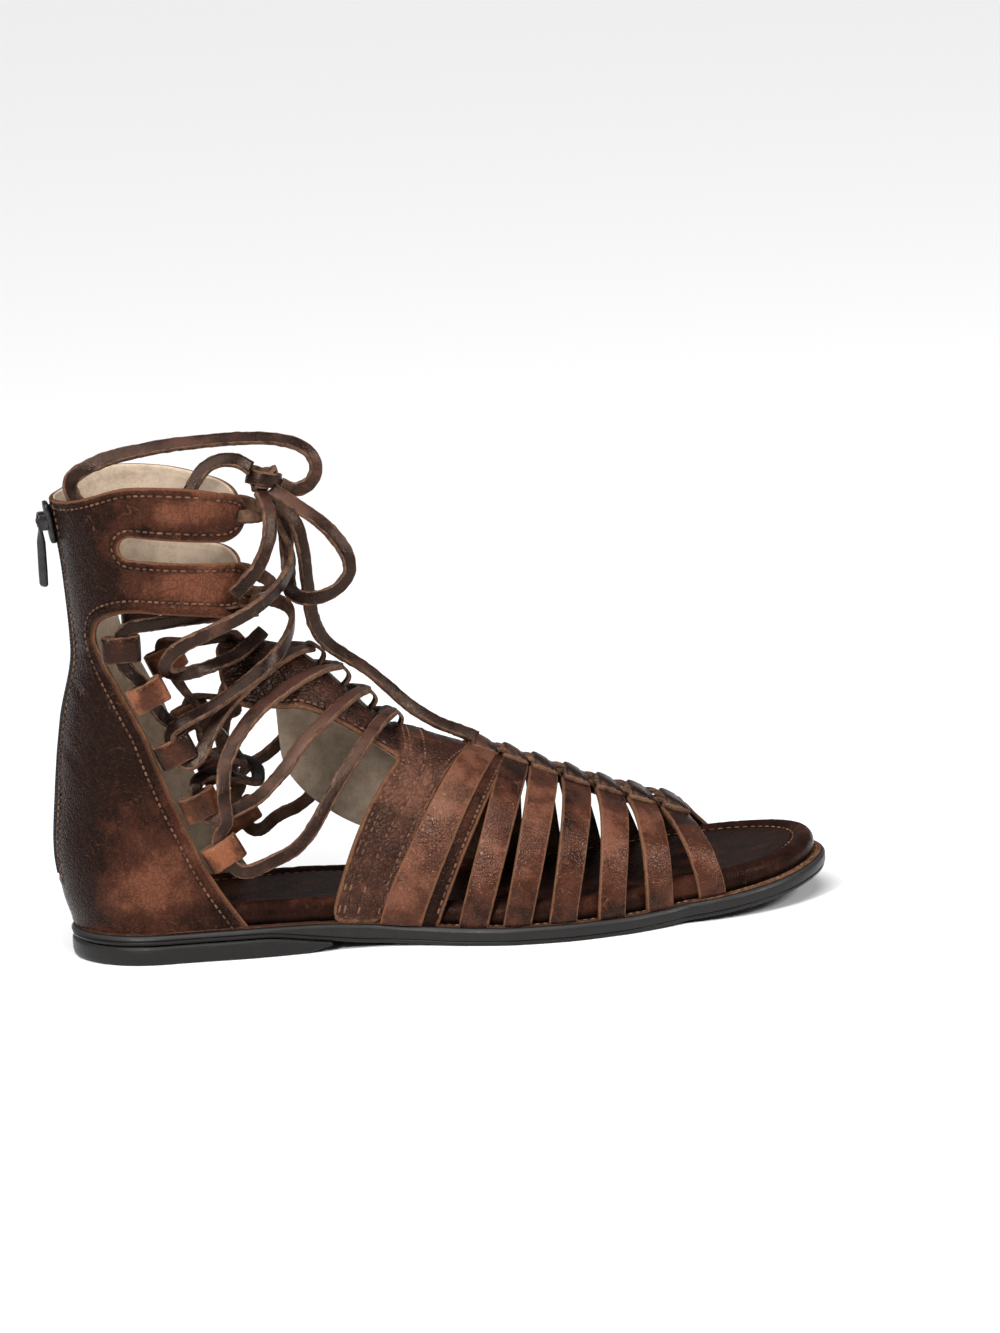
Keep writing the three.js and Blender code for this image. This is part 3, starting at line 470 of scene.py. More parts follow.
@dataclass
class Body:
    """A mesh in the making: points, faces, the layer of each face, and what the finishes read at each point.

    tone is how light the piece is there, rim how far its nearest cut edge is, and worn how bare that edge is.
    """

    points: Array
    faces: list[tuple[int, ...]]
    layers: list[int]
    tone: Array
    rim: Array
    worn: Array

    @staticmethod
    def plain(points: Array, faces: Sequence[Sequence[int]]) -> "Body":
        """Makes a body of one layer with the same tone all over, far from any cut edge."""
        count = len(points)
        values = np.zeros(count), np.full(count, FAR), np.zeros(count)
        return Body(np.asarray(points, float), [tuple(f) for f in faces], [Layer.FACE] * len(faces), *values)

    @staticmethod
    def joined(parts: Sequence["Body"]) -> "Body":
        """Puts several bodies into one."""
        faces: list[tuple[int, ...]] = []
        start = 0
        for part in parts:
            faces.extend(tuple(i + start for i in f) for f in part.faces)
            start += len(part.points)
        stacked = [np.concatenate([getattr(p, k) for p in parts]) for k in ("points", "tone", "rim", "worn")]
        return Body(stacked[0], faces, [n for p in parts for n in p.layers], *stacked[1:])

    def piece(self, name: str, finishes: Sequence[bpy.types.Material], slot: str, nodes: Iterable[str] = (),
              rides: str = "sandal") -> bpy.types.Object:
        """Makes the Blender object of this body and ties it to the frame.

        Args:
            name: The piece's name.
            finishes: One material for each layer.
            slot: The record's material slot; not used.
            nodes: The frame's nodes that this piece stands for.
            rides: The body that it moves with.

        Returns:
            The new object.
        """
        mesh = bpy.data.meshes.new(name)
        mesh.from_pydata(to_frame(self.points).tolist(), [], self.faces)
        for finish in finishes:
            mesh.materials.append(finish)
        mesh.polygons.foreach_set("material_index", np.array(self.layers, np.int32))
        mesh.polygons.foreach_set("use_smooth", np.ones(len(self.faces), bool))
        for label in ("tone", "rim", "worn"):
            attribute = mesh.attributes.new(label, "FLOAT", "POINT")
            attribute.data.foreach_set("value", getattr(self, label).astype(np.float32))
        mesh.validate()
        mesh.update()
        piece = bpy.data.objects.new(name, mesh)
        bpy.context.scene.collection.objects.link(piece)
        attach(piece, rides)
        nodes = list(nodes)
        if nodes:
            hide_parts(*nodes)
        LOG.info("%-26s %6d faces", name, len(self.faces))
        return piece


def to_frame(points: Array) -> Array:
    """Turns millimetres on the last into metres in the frame."""
    return np.asarray(points, float) * MM + np.array(ORIGIN)


@dataclass
class Sheet:
    """A sheet of leather laid over a surface: a face, a lining and a cut edge between them."""

    points: Array
    normals: Array
    faces: Array
    rim: Array
    wall: float
    lift: float = 0.0
    relief: Array | float = 0.0
    tone: Array | float = 0.0
    worn: Array | float = 0.0
    edge_radius: float = 0.5
    edge_rows: int = 2
    bulge: float = 0.12

    def body(self) -> Body:
        """Returns the sheet as a closed body with rounded cut edges."""
        count = len(self.points)
        near = np.clip(1 - self.rim / self.edge_radius, 0, 1)
        drop = self.edge_radius * (1 - np.sqrt(np.maximum(0, 1 - near**2)))
        top = self.points + self.normals * (self.lift + self.relief - drop)[:, None]
        inner = np.asarray(self.relief * 0.3 + np.zeros(count))
        low = self.points + self.normals * (self.lift - self.wall + np.minimum(inner, 0) + drop)[:, None]
        faces = np.asarray(self.faces)
        corners = [top[faces[:, k]] for k in range(3)]
        facing = np.cross(corners[1] - corners[0], corners[2] - corners[0]) * self.normals[faces[:, 0]]
        if facing.sum() < 0:
            faces = faces[:, ::-1]
        start, end = faces.ravel(), np.roll(faces, -1, axis=1).ravel()
        real = start != end
        start, end = start[real], end[real]
        open_edge = ~np.isin(start * count + end, end * count + start)
        start, end = start[open_edge], end[open_edge]
        rim_points = np.unique(start)
        number = np.full(count, -1)
        number[rim_points] = np.arange(len(rim_points))
        outward = np.zeros((count, 3))
        away = np.cross(unit(top[end] - top[start]), self.normals[start])
        np.add.at(outward, start, away)
        np.add.at(outward, end, away)
        outward = unit(outward[rim_points])
        rows = [start]
        points = [top, low]
        total = 2 * count
        for k in range(1, self.edge_rows + 1):
            t = k / (self.edge_rows + 1)
            line = top[rim_points] * (1 - t) + low[rim_points] * t
            points.append(line + outward * self.bulge * math.sin(math.pi * t))
            rows.append(number[start] + total + (k - 1) * len(rim_points))
        rows.append(start + count)
        ahead = [end] + [number[end] + total + (k - 1) * len(rim_points) for k in range(1, self.edge_rows + 1)]
        ahead.append(end + count)
        walls = np.vstack([np.stack([ahead[k], rows[k], rows[k + 1], ahead[k + 1]], 1)
                           for k in range(len(rows) - 1)])
        faces_out = faces.tolist() + (faces[:, ::-1] + count).tolist() + walls.tolist()
        layers = [Layer.FACE] * len(faces) + [Layer.LINING] * len(faces) + [Layer.CUT] * len(walls)
        tone = np.zeros(count) + self.tone
        worn = np.zeros(count) + self.worn
        again = np.tile(rim_points, self.edge_rows)
        values = [np.r_[v, v, v[again]] for v in (tone, self.rim, worn)]
        return Body(np.vstack(points), [tuple(f) for f in faces_out], layers, *values)


def cut_sheet(loops: Sequence[Array], pitch: float, seams: Sequence[Array] = (),
              rings: Sequence[float] = (0.2, 0.5, 1.0, 1.9)) -> tuple[Array, Array, Array]:
    """Cuts a flat piece of leather and fills it with small triangles.

    Args:
        loops: The outline and its holes, each closed, with the leather on the left.
        pitch: The triangles' size away from edges and seams.
        seams: Lines along which the triangles follow a row of stitches.
        rings: How far in from the edge the extra rows of points lie.

    Returns:
        The points, the triangles, and each point's distance to the nearest edge.
    """
    loops = [np.vstack([loop, loop[:1]]) for loop in loops]
    edges = [resample(loop, min(pitch, 1.1)) for loop in loops]
    rng = np.random.default_rng(SEED)
    sets = []
    for edge in edges:
        closed = np.vstack([edge[-2:-1], edge, edge[1:2]])
        for distance in rings:
            sets.append(moved_left(closed, distance)[1:-1])
    ring_points = np.vstack(sets)
    wanted = np.repeat([d for _ in edges for d in rings], [len(e) for e in edges for _ in rings])
    clear = np.min([distance_to(ring_points, e) for e in edges], axis=0) > wanted * 0.86
    chosen = [ring_points[clear]]
    for seam in seams:
        line = resample(seam, 0.85)
        chosen.extend(moved_left(line, d) for d in (-1.1, -0.5, 0, 0.5, 1.1))
    low, high = edges[0].min(0), edges[0].max(0)
    grid_x, grid_y = np.meshgrid(np.arange(low[0], high[0], pitch), np.arange(low[1], high[1], pitch * 0.87))
    grid_x = grid_x + (np.arange(len(grid_y))[:, None] % 2) * pitch / 2
    grid = np.stack([grid_x.ravel(), grid_y.ravel()], 1) + rng.uniform(-0.12, 0.12, (grid_x.size, 2)) * pitch
    far = np.min([distance_to(grid, e) for e in edges], axis=0) > max(rings) + pitch * 0.5
    for seam in seams:
        far &= distance_to(grid, seam) > 1.1 + pitch * 0.4
    chosen.append(grid[far])
    free = np.vstack(chosen)
    free = free[inside(free, edges)]
    free = free[np.min([distance_to(free, e) for e in edges], axis=0) > 0.12]
    points, constraints, start = [], [], 0
    for edge in edges:
        count = len(edge) - 1
        points.append(edge[:-1])
        constraints.extend((start + i, start + (i + 1) % count) for i in range(count))
        start += count
    every = np.vstack([*points, free])
    result = delaunay_2d_cdt([Vector(p) for p in every], constraints, [], 0, 1e-4, False)
    flat = np.array([tuple(v) for v in result[0]])
    triangles = np.array(result[2])
    triangles = triangles[inside(flat[triangles].mean(1), edges)]
    used = np.unique(triangles)
    renumber = np.full(len(flat), -1)
    renumber[used] = np.arange(len(used))
    flat = flat[used]
    return flat, renumber[triangles], np.min([distance_to(flat, e) for e in edges], axis=0)


def strip_sheet(width: float, along: int) -> tuple[Array, Array, Array, Array]:
    """Lays out a strap's face as a grid of squares.

    Args:
        width: The strap's width.
        along: How many squares it has along its length.

    Returns:
        Places across from the middle, shares along, the faces, and the distance to a long edge.
    """
    steps = np.array([0, 0.18, 0.45, 0.9, 1.6])
    half = width / 2
    inner = np.linspace(-half + 2.4, half - 2.4, max(3, round((width - 4.8) / 1.2)))
    across = np.r_[-half + steps, inner, (half - steps)[::-1]]
    shares = np.linspace(0, 1, along + 1)
    u, v = np.meshgrid(across, shares)
    return u.ravel(), v.ravel(), grid_faces(len(across), along + 1), half - np.abs(u.ravel())


@dataclass(frozen=True)
class Seam:
    """A row of stitches along a line on a sheet."""

    path: Array
    pitch: float = 2.3
    depth: float = 0.34
    width: float = 0.75
    thread: float = 0.4

    def groove(self, flat: Array) -> Array:
        """Returns how far the leather sinks at flat points, deepest in the row."""
        return -self.depth * bump(distance_to(flat, self.path), self.width)

    def stitches(self, surface: Surface, lift: float) -> Body:
        """Lays the stitches over a surface.

        Args:
            surface: Gives points and normals for flat places.
            lift: How high the leather's face lies over the surface.

        Returns:
            All the stitches as one body.
        """
        line = resample(self.path, self.pitch)
        ends, normals = surface(line[:, 0], line[:, 1])
        middle = (ends[1:] + ends[:-1]) / 2
        normal = unit(normals[1:] + normals[:-1])
        along = ends[1:] - ends[:-1]
        return stitch_row(middle + normal * (lift - self.depth * 0.55), along * 0.72, normal, self.thread)


def stitch_row(middles: Array, alongs: Array, normals: Array, radius: float) -> Body:
    """Makes one small bowed stitch at each place.

    Args:
        middles: The stitches' middles.
        alongs: Their directions, each as long as the stitch.
        normals: The leather's outward directions.
        radius: The thread's radius.

    Returns:
        All of them as one body.
    """
    sides = 6
    stations = np.array([-0.5, -0.42, -0.2, 0.2, 0.42, 0.5])
    girth = np.array([0.3, 0.8, 1.0, 1.0, 0.8, 0.3]) * radius
    sink = np.array([-0.9, -0.45, 0, 0, -0.45, -0.9]) * radius
    angle = np.linspace(0, 2 * np.pi, sides, endpoint=False)
    across = unit(np.cross(alongs, normals))
    ring_across = np.cos(angle)[None, :] * girth[:, None]
    ring_up = np.sin(angle)[None, :] * girth[:, None] * 0.85 + sink[:, None]
    ring_along = np.repeat(stations[:, None], sides, 1)
    local = np.stack([ring_along.ravel(), ring_across.ravel(), ring_up.ravel()], 1)
    base = np.stack([alongs, across, unit(normals)], 1)
    points = middles[:, None, :] + np.einsum("kj,njd->nkd", local, base)
    count = len(stations)
    quads = [(i * sides + k, i * sides + (k + 1) % sides, (i + 1) * sides + (k + 1) % sides,
              (i + 1) * sides + k)
             for i in range(count - 1) for k in range(sides)]
    caps = [tuple(range(sides))[::-1], tuple((count - 1) * sides + k for k in range(sides))]
    faces = [tuple(i + n * count * sides for i in f) for n in range(len(middles)) for f in quads + caps]
    rng = np.random.default_rng(SEED + len(middles))
    body = Body.plain(points.reshape(-1, 3), faces)
    body.tone = np.repeat(rng.uniform(-0.5, 0.5, len(middles)), count * sides)
    return body


def ring_tube(rings: Array, closed: bool = False, layers: Sequence[int] | None = None) -> Body:
    """Skins a row of rings, with flat caps where it isn't closed.

    Args:
        rings: Stations by corners by coordinates.
        closed: Whether the last ring joins the first.
        layers: The layer of each side of the section.

    Returns:
        The closed body.
    """
    count, sides = rings.shape[:2]
    spans = count if closed else count - 1
    j, k = np.meshgrid(np.arange(spans), np.arange(sides), indexing="ij")
    ahead, beside = (j + 1) % count, (k + 1) % sides
    faces = np.stack([j * sides + k, j * sides + beside, ahead * sides + beside, ahead * sides + k], -1)
    faces = [tuple(f) for f in faces.reshape(-1, 4).tolist()]
    kinds = list(layers or [Layer.FACE] * sides) * spans
    if not closed:
        faces += [tuple(range(sides))[::-1], tuple((count - 1) * sides + i for i in range(sides))]
        kinds += [Layer.CUT if layers else Layer.FACE] * 2
    body = Body.plain(rings.reshape(-1, 3), faces)
    volume = sum(float(np.dot(body.points[f[0]], np.cross(body.points[f[1]], body.points[f[2]])))
                 + (float(np.dot(body.points[f[0]], np.cross(body.points[f[2]], body.points[f[3]])))
                    if len(f) == 4 else 0) for f in faces)
    if volume < 0:
        body.faces = [f[::-1] for f in body.faces]
    body.layers = kinds
    return body


@dataclass(frozen=True)
class Thong:
    """A flat lace cut from a hide: its section, and how rough its cut edges are."""

    width: float = 4.5
    thickness: float = 2.0
    corner: float = 0.42
    roughness: float = 0.1

    def body(self, line: Array, out: Array, seed: int, waver: float = 0.12) -> Body:
        """Sweeps the lace along a line.

        Args:
            line: Evenly spaced points of its middle.
            out: The direction that its flat face looks at each point.
            seed: Picks the edge's roughness.
            waver: How far the lace turns to and fro, in radians.

        Returns:
            The lace as a closed body, its long cut edges in their own layer.
        """
        rng = np.random.default_rng(SEED * 31 + seed)
        count = len(line)
        along = unit(np.gradient(line, axis=0))
        across = unit(np.cross(along, out))
        up = unit(np.cross(across, along))
        knots = rng.normal(0, 1, count // 24 + 4)
        places = np.linspace(0, len(knots) - 1, count)
        sway = np.interp(places, np.arange(len(knots)), knots) * waver
        sway = smoothed(sway, 6)
        across, up = (across * np.cos(sway)[:, None] + up * np.sin(sway)[:, None],
                      up * np.cos(sway)[:, None] - across * np.sin(sway)[:, None])
        a, b, c = self.width / 2, self.thickness / 2, self.corner
        section = [(-a + c, b), (-a / 2, b + 0.05), (0, b + 0.08), (a / 2, b + 0.05), (a - c, b),
                   (a - c * 0.3, b - c * 0.3), (a, b - c), (a + 0.05, 0), (a, c - b),
                   (a - c * 0.3, c * 0.3 - b), (a - c, -b), (a / 2, -b), (0, -b), (-a / 2, -b), (c - a, -b),
                   (c * 0.3 - a, c * 0.3 - b), (-a, c - b), (-a - 0.05, 0), (-a, b - c),
                   (c * 0.3 - a, b - c * 0.3)]
        section = np.array(section)
        rough = rng.normal(0, self.roughness, (count, len(section)))
        rough = (rough + np.roll(rough, 1, 0)) / 1.4
        side = np.abs(section[:, 0]) > a - c - 1e-6
        x = section[None, :, 0] + np.sign(section[None, :, 0]) * rough * side
        swell = np.interp(places, np.arange(len(knots)), knots[::-1])
        x = x * (1 + 0.05 * swell)[:, None]
        z = np.repeat(section[None, :, 1], count, 0)
        rings = line[:, None, :] + across[:, None, :] * x[..., None] + up[:, None, :] * z[..., None]
        kinds = [Layer.FACE] * 4 + [Layer.CUT] * 5 + [Layer.LINING] * 5 + [Layer.CUT] * 6
        body = ring_tube(rings, layers=kinds)
        body.rim = np.tile(a - np.abs(section[:, 0]), count)
        body.tone = np.repeat(sway * 2, len(section))
        return body


def carried(line: Array, wanted: Array, hold: float = 0.2) -> Array:
    """Turns a lace's face smoothly towards a wanted direction as it runs along a line.

    Args:
        line: The lace's points.
        wanted: The direction its face would like to look at each of them.
        hold: How fast it gives way, from 0 to 1.

    Returns:
        The direction of its face at each point.
    """
    along = unit(np.gradient(line, axis=0))
    wanted = np.broadcast_to(np.asarray(wanted, float), line.shape)
    flat = wanted - along * (wanted * along).sum(1, keepdims=True)
    out = np.empty_like(line)
    out[0] = unit(flat[0])
    for i in range(1, len(line)):
        kept = out[i - 1] - along[i] * np.dot(out[i - 1], along[i])
        out[i] = unit(unit(kept) * (1 - hold) + flat[i] * hold)
    return out


# ---------------------------------------------------------------- finishes

class Graph:
    """Adds shader nodes to one tree and links them."""

    def __init__(self, tree: bpy.types.NodeTree) -> None:
        """Starts on a tree."""
        self.tree = tree

    def add(self, kind: str, inputs: dict | None = None, **settings: object) -> bpy.types.Node:
        """Adds a node.

        Args:
            kind: The node's type without "ShaderNode".
            inputs: Values, or sockets to link, by the input's name or number.
            settings: The node's own settings.

        Returns:
            The new node.
        """
        node = self.tree.nodes.new("ShaderNode" + kind)
        for name, value in settings.items():
            setattr(node, name, value)
        for name, value in (inputs or {}).items():
            self.feed(value, node.inputs[name])
        return node

    def feed(self, value: object, socket: bpy.types.NodeSocket) -> None:
        """Links a socket to another socket, or sets it to a plain value."""
        if isinstance(value, bpy.types.NodeSocket):
            self.tree.links.new(value, socket)
        else:
            socket.default_value = value

    def math(self, operation: str, a: object, b: object = 0.0, clamp: bool = False) -> bpy.types.NodeSocket:
        """Returns the result of a sum, product or the like."""
        return self.add("Math", {0: a, 1: b}, operation=operation, use_clamp=clamp).outputs[0]

    def remap(self, value: object, low: float, high: float, to_low: float = 0.0,
              to_high: float = 1.0) -> bpy.types.NodeSocket:
        """Returns a value stretched smoothly from one range to another."""
        inputs = {"Value": value, "From Min": low, "From Max": high, "To Min": to_low, "To Max": to_high}
        return self.add("MapRange", inputs, interpolation_type="SMOOTHSTEP").outputs[0]

    def blend(self, share: object, a: object, b: object) -> bpy.types.NodeSocket:
        """Returns a colour between two, each a plain colour or a socket."""
        a, b = ((*c, 1) if isinstance(c, tuple) else c for c in (a, b))
        return self.add("Mix", {0: share, 6: a, 7: b}, data_type="RGBA", clamp_factor=True).outputs[2]

    def noise(self, vector: object, scale: float, detail: float = 3.0,
              rough: float = 0.5) -> bpy.types.NodeSocket:
        """Returns a soft noise, scale being its blobs per metre."""
        inputs = {"Vector": vector, "Scale": scale, "Detail": detail, "Roughness": rough}
        return self.add("TexNoise", inputs).outputs["Fac"]

    def warped(self, vector: object, scale: float, amount: float) -> bpy.types.NodeSocket:
        """Returns a place pushed about by noise."""
        noise = self.add("TexNoise", {"Vector": vector, "Scale": scale, "Detail": 2.0}).outputs["Color"]
        push = self.add("VectorMath", {0: noise, 1: (0.5, 0.5, 0.5)}, operation="SUBTRACT").outputs[0]
        push = self.add("VectorMath", {0: push, "Scale": amount}, operation="SCALE").outputs[0]
        return self.add("VectorMath", {0: vector, 1: push}, operation="ADD").outputs[0]


def effect(name: str, outputs: Sequence[str], **inputs: float | None) -> tuple:
    """Starts a shader node group that reads a place.

    Args:
        name: The group's name.
        outputs: The names of its values.
        inputs: The first value of each further input, or None for a direction.

    Returns:
        The group's graph, the sockets that it reads and the sockets that it fills.
    """
    tree = bpy.data.node_groups.new(name, "ShaderNodeTree")
    for label, value in {"Place": None, **inputs}.items():
        kind = "NodeSocketVector" if value is None else "NodeSocketFloat"
        socket = tree.interface.new_socket(label, in_out="INPUT", socket_type=kind)
        if value is not None:
            socket.default_value = value
    for label in outputs:
        tree.interface.new_socket(label, in_out="OUTPUT", socket_type="NodeSocketFloat")
    graph = Graph(tree)
    return graph, tree.nodes.new("NodeGroupInput").outputs, tree.nodes.new("NodeGroupOutput").inputs


def make_mottle() -> bpy.types.NodeTree:
    """Makes the waxed hide's uneven tone: large clouds, smaller ones, and pores."""
    g, given, out = effect("hide_mottle", ["Mask"], Tone=0.0, Contrast=1.0)
    place = given["Place"]
    clouds = g.noise(g.warped(place, 30, 0.012), 38, 2, 0.5)
    patches = g.noise(g.warped(place, 90, 0.004), 150, 3, 0.55)
    pores = g.noise(place, 900, 3, 0.65)
    total = g.math("ADD", g.math("MULTIPLY", clouds, 1.25), g.math("MULTIPLY", patches, 1.0))
    total = g.math("ADD", total, g.math("MULTIPLY", pores, 0.5))
    total = g.math("MULTIPLY", g.math("SUBTRACT", total, 1.375), given["Contrast"])
    total = g.math("ADD", g.math("ADD", total, 0.5), g.math("MULTIPLY", given["Tone"], 0.5))
    g.feed(g.math("ADD", total, 0.0, clamp=True), out["Mask"])
    return g.tree


def make_grain() -> bpy.types.NodeTree:
    """Makes the hide's grain: pebbles with creased valleys between them, and fine wrinkles over all."""
    g, given, out = effect("hide_grain", ["Height"], Scale=700.0, Wrinkle=0.5)
    place = g.warped(given["Place"], 260, 0.0022)
    cells = g.add("TexVoronoi", {"Vector": place, "Scale": given["Scale"]}, feature="DISTANCE_TO_EDGE")
    pebble = g.remap(cells.outputs["Distance"], 0.0, 0.32)
    large = g.math("MULTIPLY", given["Scale"], 0.5)
    folds = g.add("TexVoronoi", {"Vector": g.warped(place, 120, 0.006), "Scale": large},
                  feature="DISTANCE_TO_EDGE")
    fold = g.remap(folds.outputs["Distance"], 0.0, 0.16)
    fold = g.math("MULTIPLY", g.math("SUBTRACT", fold, 1.0), given["Wrinkle"])
    fine = g.math("MULTIPLY", g.noise(place, 2600, 2, 0.6), 0.35)
    height = g.math("ADD", g.math("MULTIPLY", pebble, 0.55), g.math("ADD", fold, fine))
    g.feed(height, out["Height"])
    return g.tree


def make_edge_wear() -> bpy.types.NodeTree:
    """Makes the rubbed band along a cut edge, from the distance to it."""
    g, given, out = effect("edge_wear", ["Mask"], Rim=FAR, Width=1.2, Worn=0.0)
    ragged = g.math("MULTIPLY", g.noise(given["Place"], 420, 4, 0.65), 1.7)
    reach = g.math("MULTIPLY", given["Width"], ragged)
    share = g.math("DIVIDE", given["Rim"], g.math("MAXIMUM", reach, 0.05))
    mask = g.math("SUBTRACT", 1.0, g.remap(share, 0.15, 1.0))
    bare = g.math("MULTIPLY", given["Worn"], g.remap(ragged, 0.3, 0.8, 0.55, 1.0))
    g.feed(g.math("MAXIMUM", mask, bare, clamp=True), out["Mask"])
    return g.tree


def make_scratches() -> bpy.types.NodeTree:
    """Makes thin curling scratches that come and go."""
    g, given, out = effect("hide_scratches", ["Mask"], Amount=0.5)
    place = g.warped(given["Place"], 130, 0.02)
    cells = g.add("TexVoronoi", {"Vector": place, "Scale": 75.0}, feature="DISTANCE_TO_EDGE")
    line = g.math("SUBTRACT", 1.0, g.remap(cells.outputs["Distance"], 0.0, 0.02))
    where = g.remap(g.noise(given["Place"], 95, 3, 0.6), 0.53, 0.66)
    mask = g.math("MULTIPLY", g.math("MULTIPLY", line, where), given["Amount"], clamp=True)
    g.feed(mask, out["Mask"])
    return g.tree


def make_fibres() -> bpy.types.NodeTree:
    """Makes the matted fibres of a hide's cut edge or flesh side."""
    g, given, out = effect("hide_fibres", ["Mask", "Height"], Scale=1500.0)
    place = g.warped(given["Place"], 500, 0.002)
    noise = g.add("TexNoise", {"Vector": place, "Scale": given["Scale"], "Detail": 4.0, "Roughness": 0.7})
    clumps = g.noise(given["Place"], 260, 3, 0.6)
    mask = g.math("ADD", g.math("MULTIPLY", noise.outputs["Fac"], 0.6), g.math("MULTIPLY", clumps, 0.6))
    g.feed(g.remap(mask, 0.38, 0.8), out["Mask"])
    g.feed(noise.outputs["Fac"], out["Height"])
    return g.tree


def make_dust() -> bpy.types.NodeTree:
    """Makes the pale film that gathers low down and on upward faces."""
    g, given, out = effect("dust", ["Mask"], Normal=None, Amount=0.3)
    up = g.add("SeparateXYZ", {0: given["Normal"]}).outputs[2]
    level = g.remap(up, 0.1, 1.0, 0.35, 1.0)
    spots = g.remap(g.noise(g.warped(given["Place"], 60, 0.01), 210, 5, 0.7), 0.42, 0.75)
    mask = g.math("MULTIPLY", g.math("MULTIPLY", level, spots), given["Amount"], clamp=True)
    g.feed(mask, out["Mask"])
    return g.tree


@cache
def shared_effect(maker: Callable[[], bpy.types.NodeTree]) -> bpy.types.NodeTree:
    """Returns an effect's node group, built the first time that it is asked for."""
    return maker()


class Material(Graph):
    """A material in the making, with its Principled shader and what the finishes share."""

    def __init__(self, name: str) -> None:
        """Starts a material of that name."""
        self.material = bpy.data.materials.new(name)
        self.material.use_nodes = True
        super().__init__(self.material.node_tree)
        self.tree.nodes.clear()
        self.shader = self.add("BsdfPrincipled")
        output = self.add("OutputMaterial")
        self.tree.links.new(self.shader.outputs[0], output.inputs[0])
        self.place = self.add("TexCoord").outputs["Object"]

    def effect(self, maker: Callable[[], bpy.types.NodeTree], **inputs: object) -> bpy.types.Node:
        """Places a shared effect with values of its own."""
        node = self.tree.nodes.new("ShaderNodeGroup")
        node.node_tree = shared_effect(maker)
        for name, value in {"place": self.place, **inputs}.items():
            self.feed(value, node.inputs[name.capitalize()])
        return node

    def wear(self, width: float) -> bpy.types.NodeSocket:
        """Returns how rubbed the piece is, in a band of that width along its cut edges."""
        return self.effect(make_edge_wear, rim=self.value("rim"), worn=self.value("worn"),
                           width=width).outputs[0]

    def value(self, name: str) -> bpy.types.NodeSocket:
        """Reads a value that the mesh holds at each point."""
        return self.add("Attribute", attribute_name=name).outputs["Fac"]

    def bump(self, height: object, distance: float, strength: float = 1.0, normal: object = None) -> object:
        """Returns the normal of a relief of that depth in millimetres."""
        inputs = {"Height": height, "Distance": distance * MM, "Strength": strength}
        if normal is not None:
            inputs["Normal"] = normal
        return self.add("Bump", inputs).outputs[0]

    def finish(self, **sockets: object) -> bpy.types.Material:
        """Sets the shader's sockets and returns the material."""
        for name, value in sockets.items():
            label = name.replace("_", " ").title().replace("Ior", "IOR")
            self.feed((*value, 1) if isinstance(value, tuple) else value, self.shader.inputs[label])
        return self.material


@dataclass(frozen=True)
class Hide:
    """Waxed, pulled-up leather: its three tones, its raw colour at worn edges, its grain and its gloss."""

    name: str
    dark: Colour
    middle: Colour
    light: Colour
    raw: Colour = (0.16, 0.07, 0.036)
    grain: float = 720.0
    wrinkle: float = 0.45
    relief: float = 0.16
    gloss: tuple[float, float] = (0.3, 0.42)
    wear: float = 1.1
    scratch: float = 0.45
    contrast: float = 1.0
    sheen: float = 0.42

    def build(self) -> bpy.types.Material:
        """Builds the material."""
        m = Material(self.name)
        mask = m.effect(make_mottle, tone=m.value("tone"), contrast=self.contrast).outputs[0]
        colour = m.blend(m.remap(mask, 0.12, 0.56), self.dark, self.middle)
        colour = m.blend(m.remap(mask, 0.55, 0.98), colour, self.light)
        grain = m.effect(make_grain, scale=self.grain, wrinkle=self.wrinkle).outputs[0]
        # Painted shade: the colour darkens towards the dark tone in the grain's valleys.
        valley_shade = m.remap(grain, -0.3, 0.45, 0.34, 0.0)
        colour = m.blend(valley_shade, colour, tuple(0.35 * c for c in self.dark))
        scratch = m.effect(make_scratches, amount=self.scratch).outputs[0]
        colour = m.blend(scratch, colour, self.raw)
        wear = m.wear(self.wear)
        colour = m.blend(m.math("MULTIPLY", wear, 0.85), colour, self.raw)
        patchy = m.noise(m.warped(m.place, 200, 0.004), 330, 3, 0.6)
        uneven = m.math("ADD", m.math("MULTIPLY", mask, 0.4), m.math("MULTIPLY", patchy, 0.7))
        rough = m.remap(uneven, 0.25, 0.75, *self.gloss)
        rough = m.math("ADD", rough, m.math("MULTIPLY", wear, 0.2), clamp=True)
        soft = m.bump(m.noise(m.place, 120, 3), 0.5, 0.35)
        normal = m.bump(grain, self.relief, 1.0, soft)
        normal = m.bump(m.math("MULTIPLY", scratch, -1.0), 0.1, 0.8, normal)
        return m.finish(base_color=colour, roughness=rough, normal=normal, specular_ior_level=self.sheen,
                        ior=1.33, specular_tint=(1.0, 0.72, 0.55))


@dataclass(frozen=True)
class RawHide:
    """A hide's cut edge, or its suede flesh side: matted fibres with little gloss."""

    name: str
    dark: Colour
    light: Colour
    scale: float = 1500.0
    relief: float = 0.18
    roughness: float = 0.85
    sheen: float = 0.0

    def build(self) -> bpy.types.Material:
        """Builds the material."""
        m = Material(self.name)
        fibres = m.effect(make_fibres, scale=self.scale)
        share = m.math("ADD", fibres.outputs["Mask"], m.math("MULTIPLY", m.value("tone"), 0.3), clamp=True)
        colour = m.blend(share, self.dark, self.light)
        normal = m.bump(fibres.outputs["Height"], self.relief)
        return m.finish(base_color=colour, roughness=self.roughness, normal=normal, sheen_weight=self.sheen,
                        sheen_roughness=0.5, specular_ior_level=0.15)


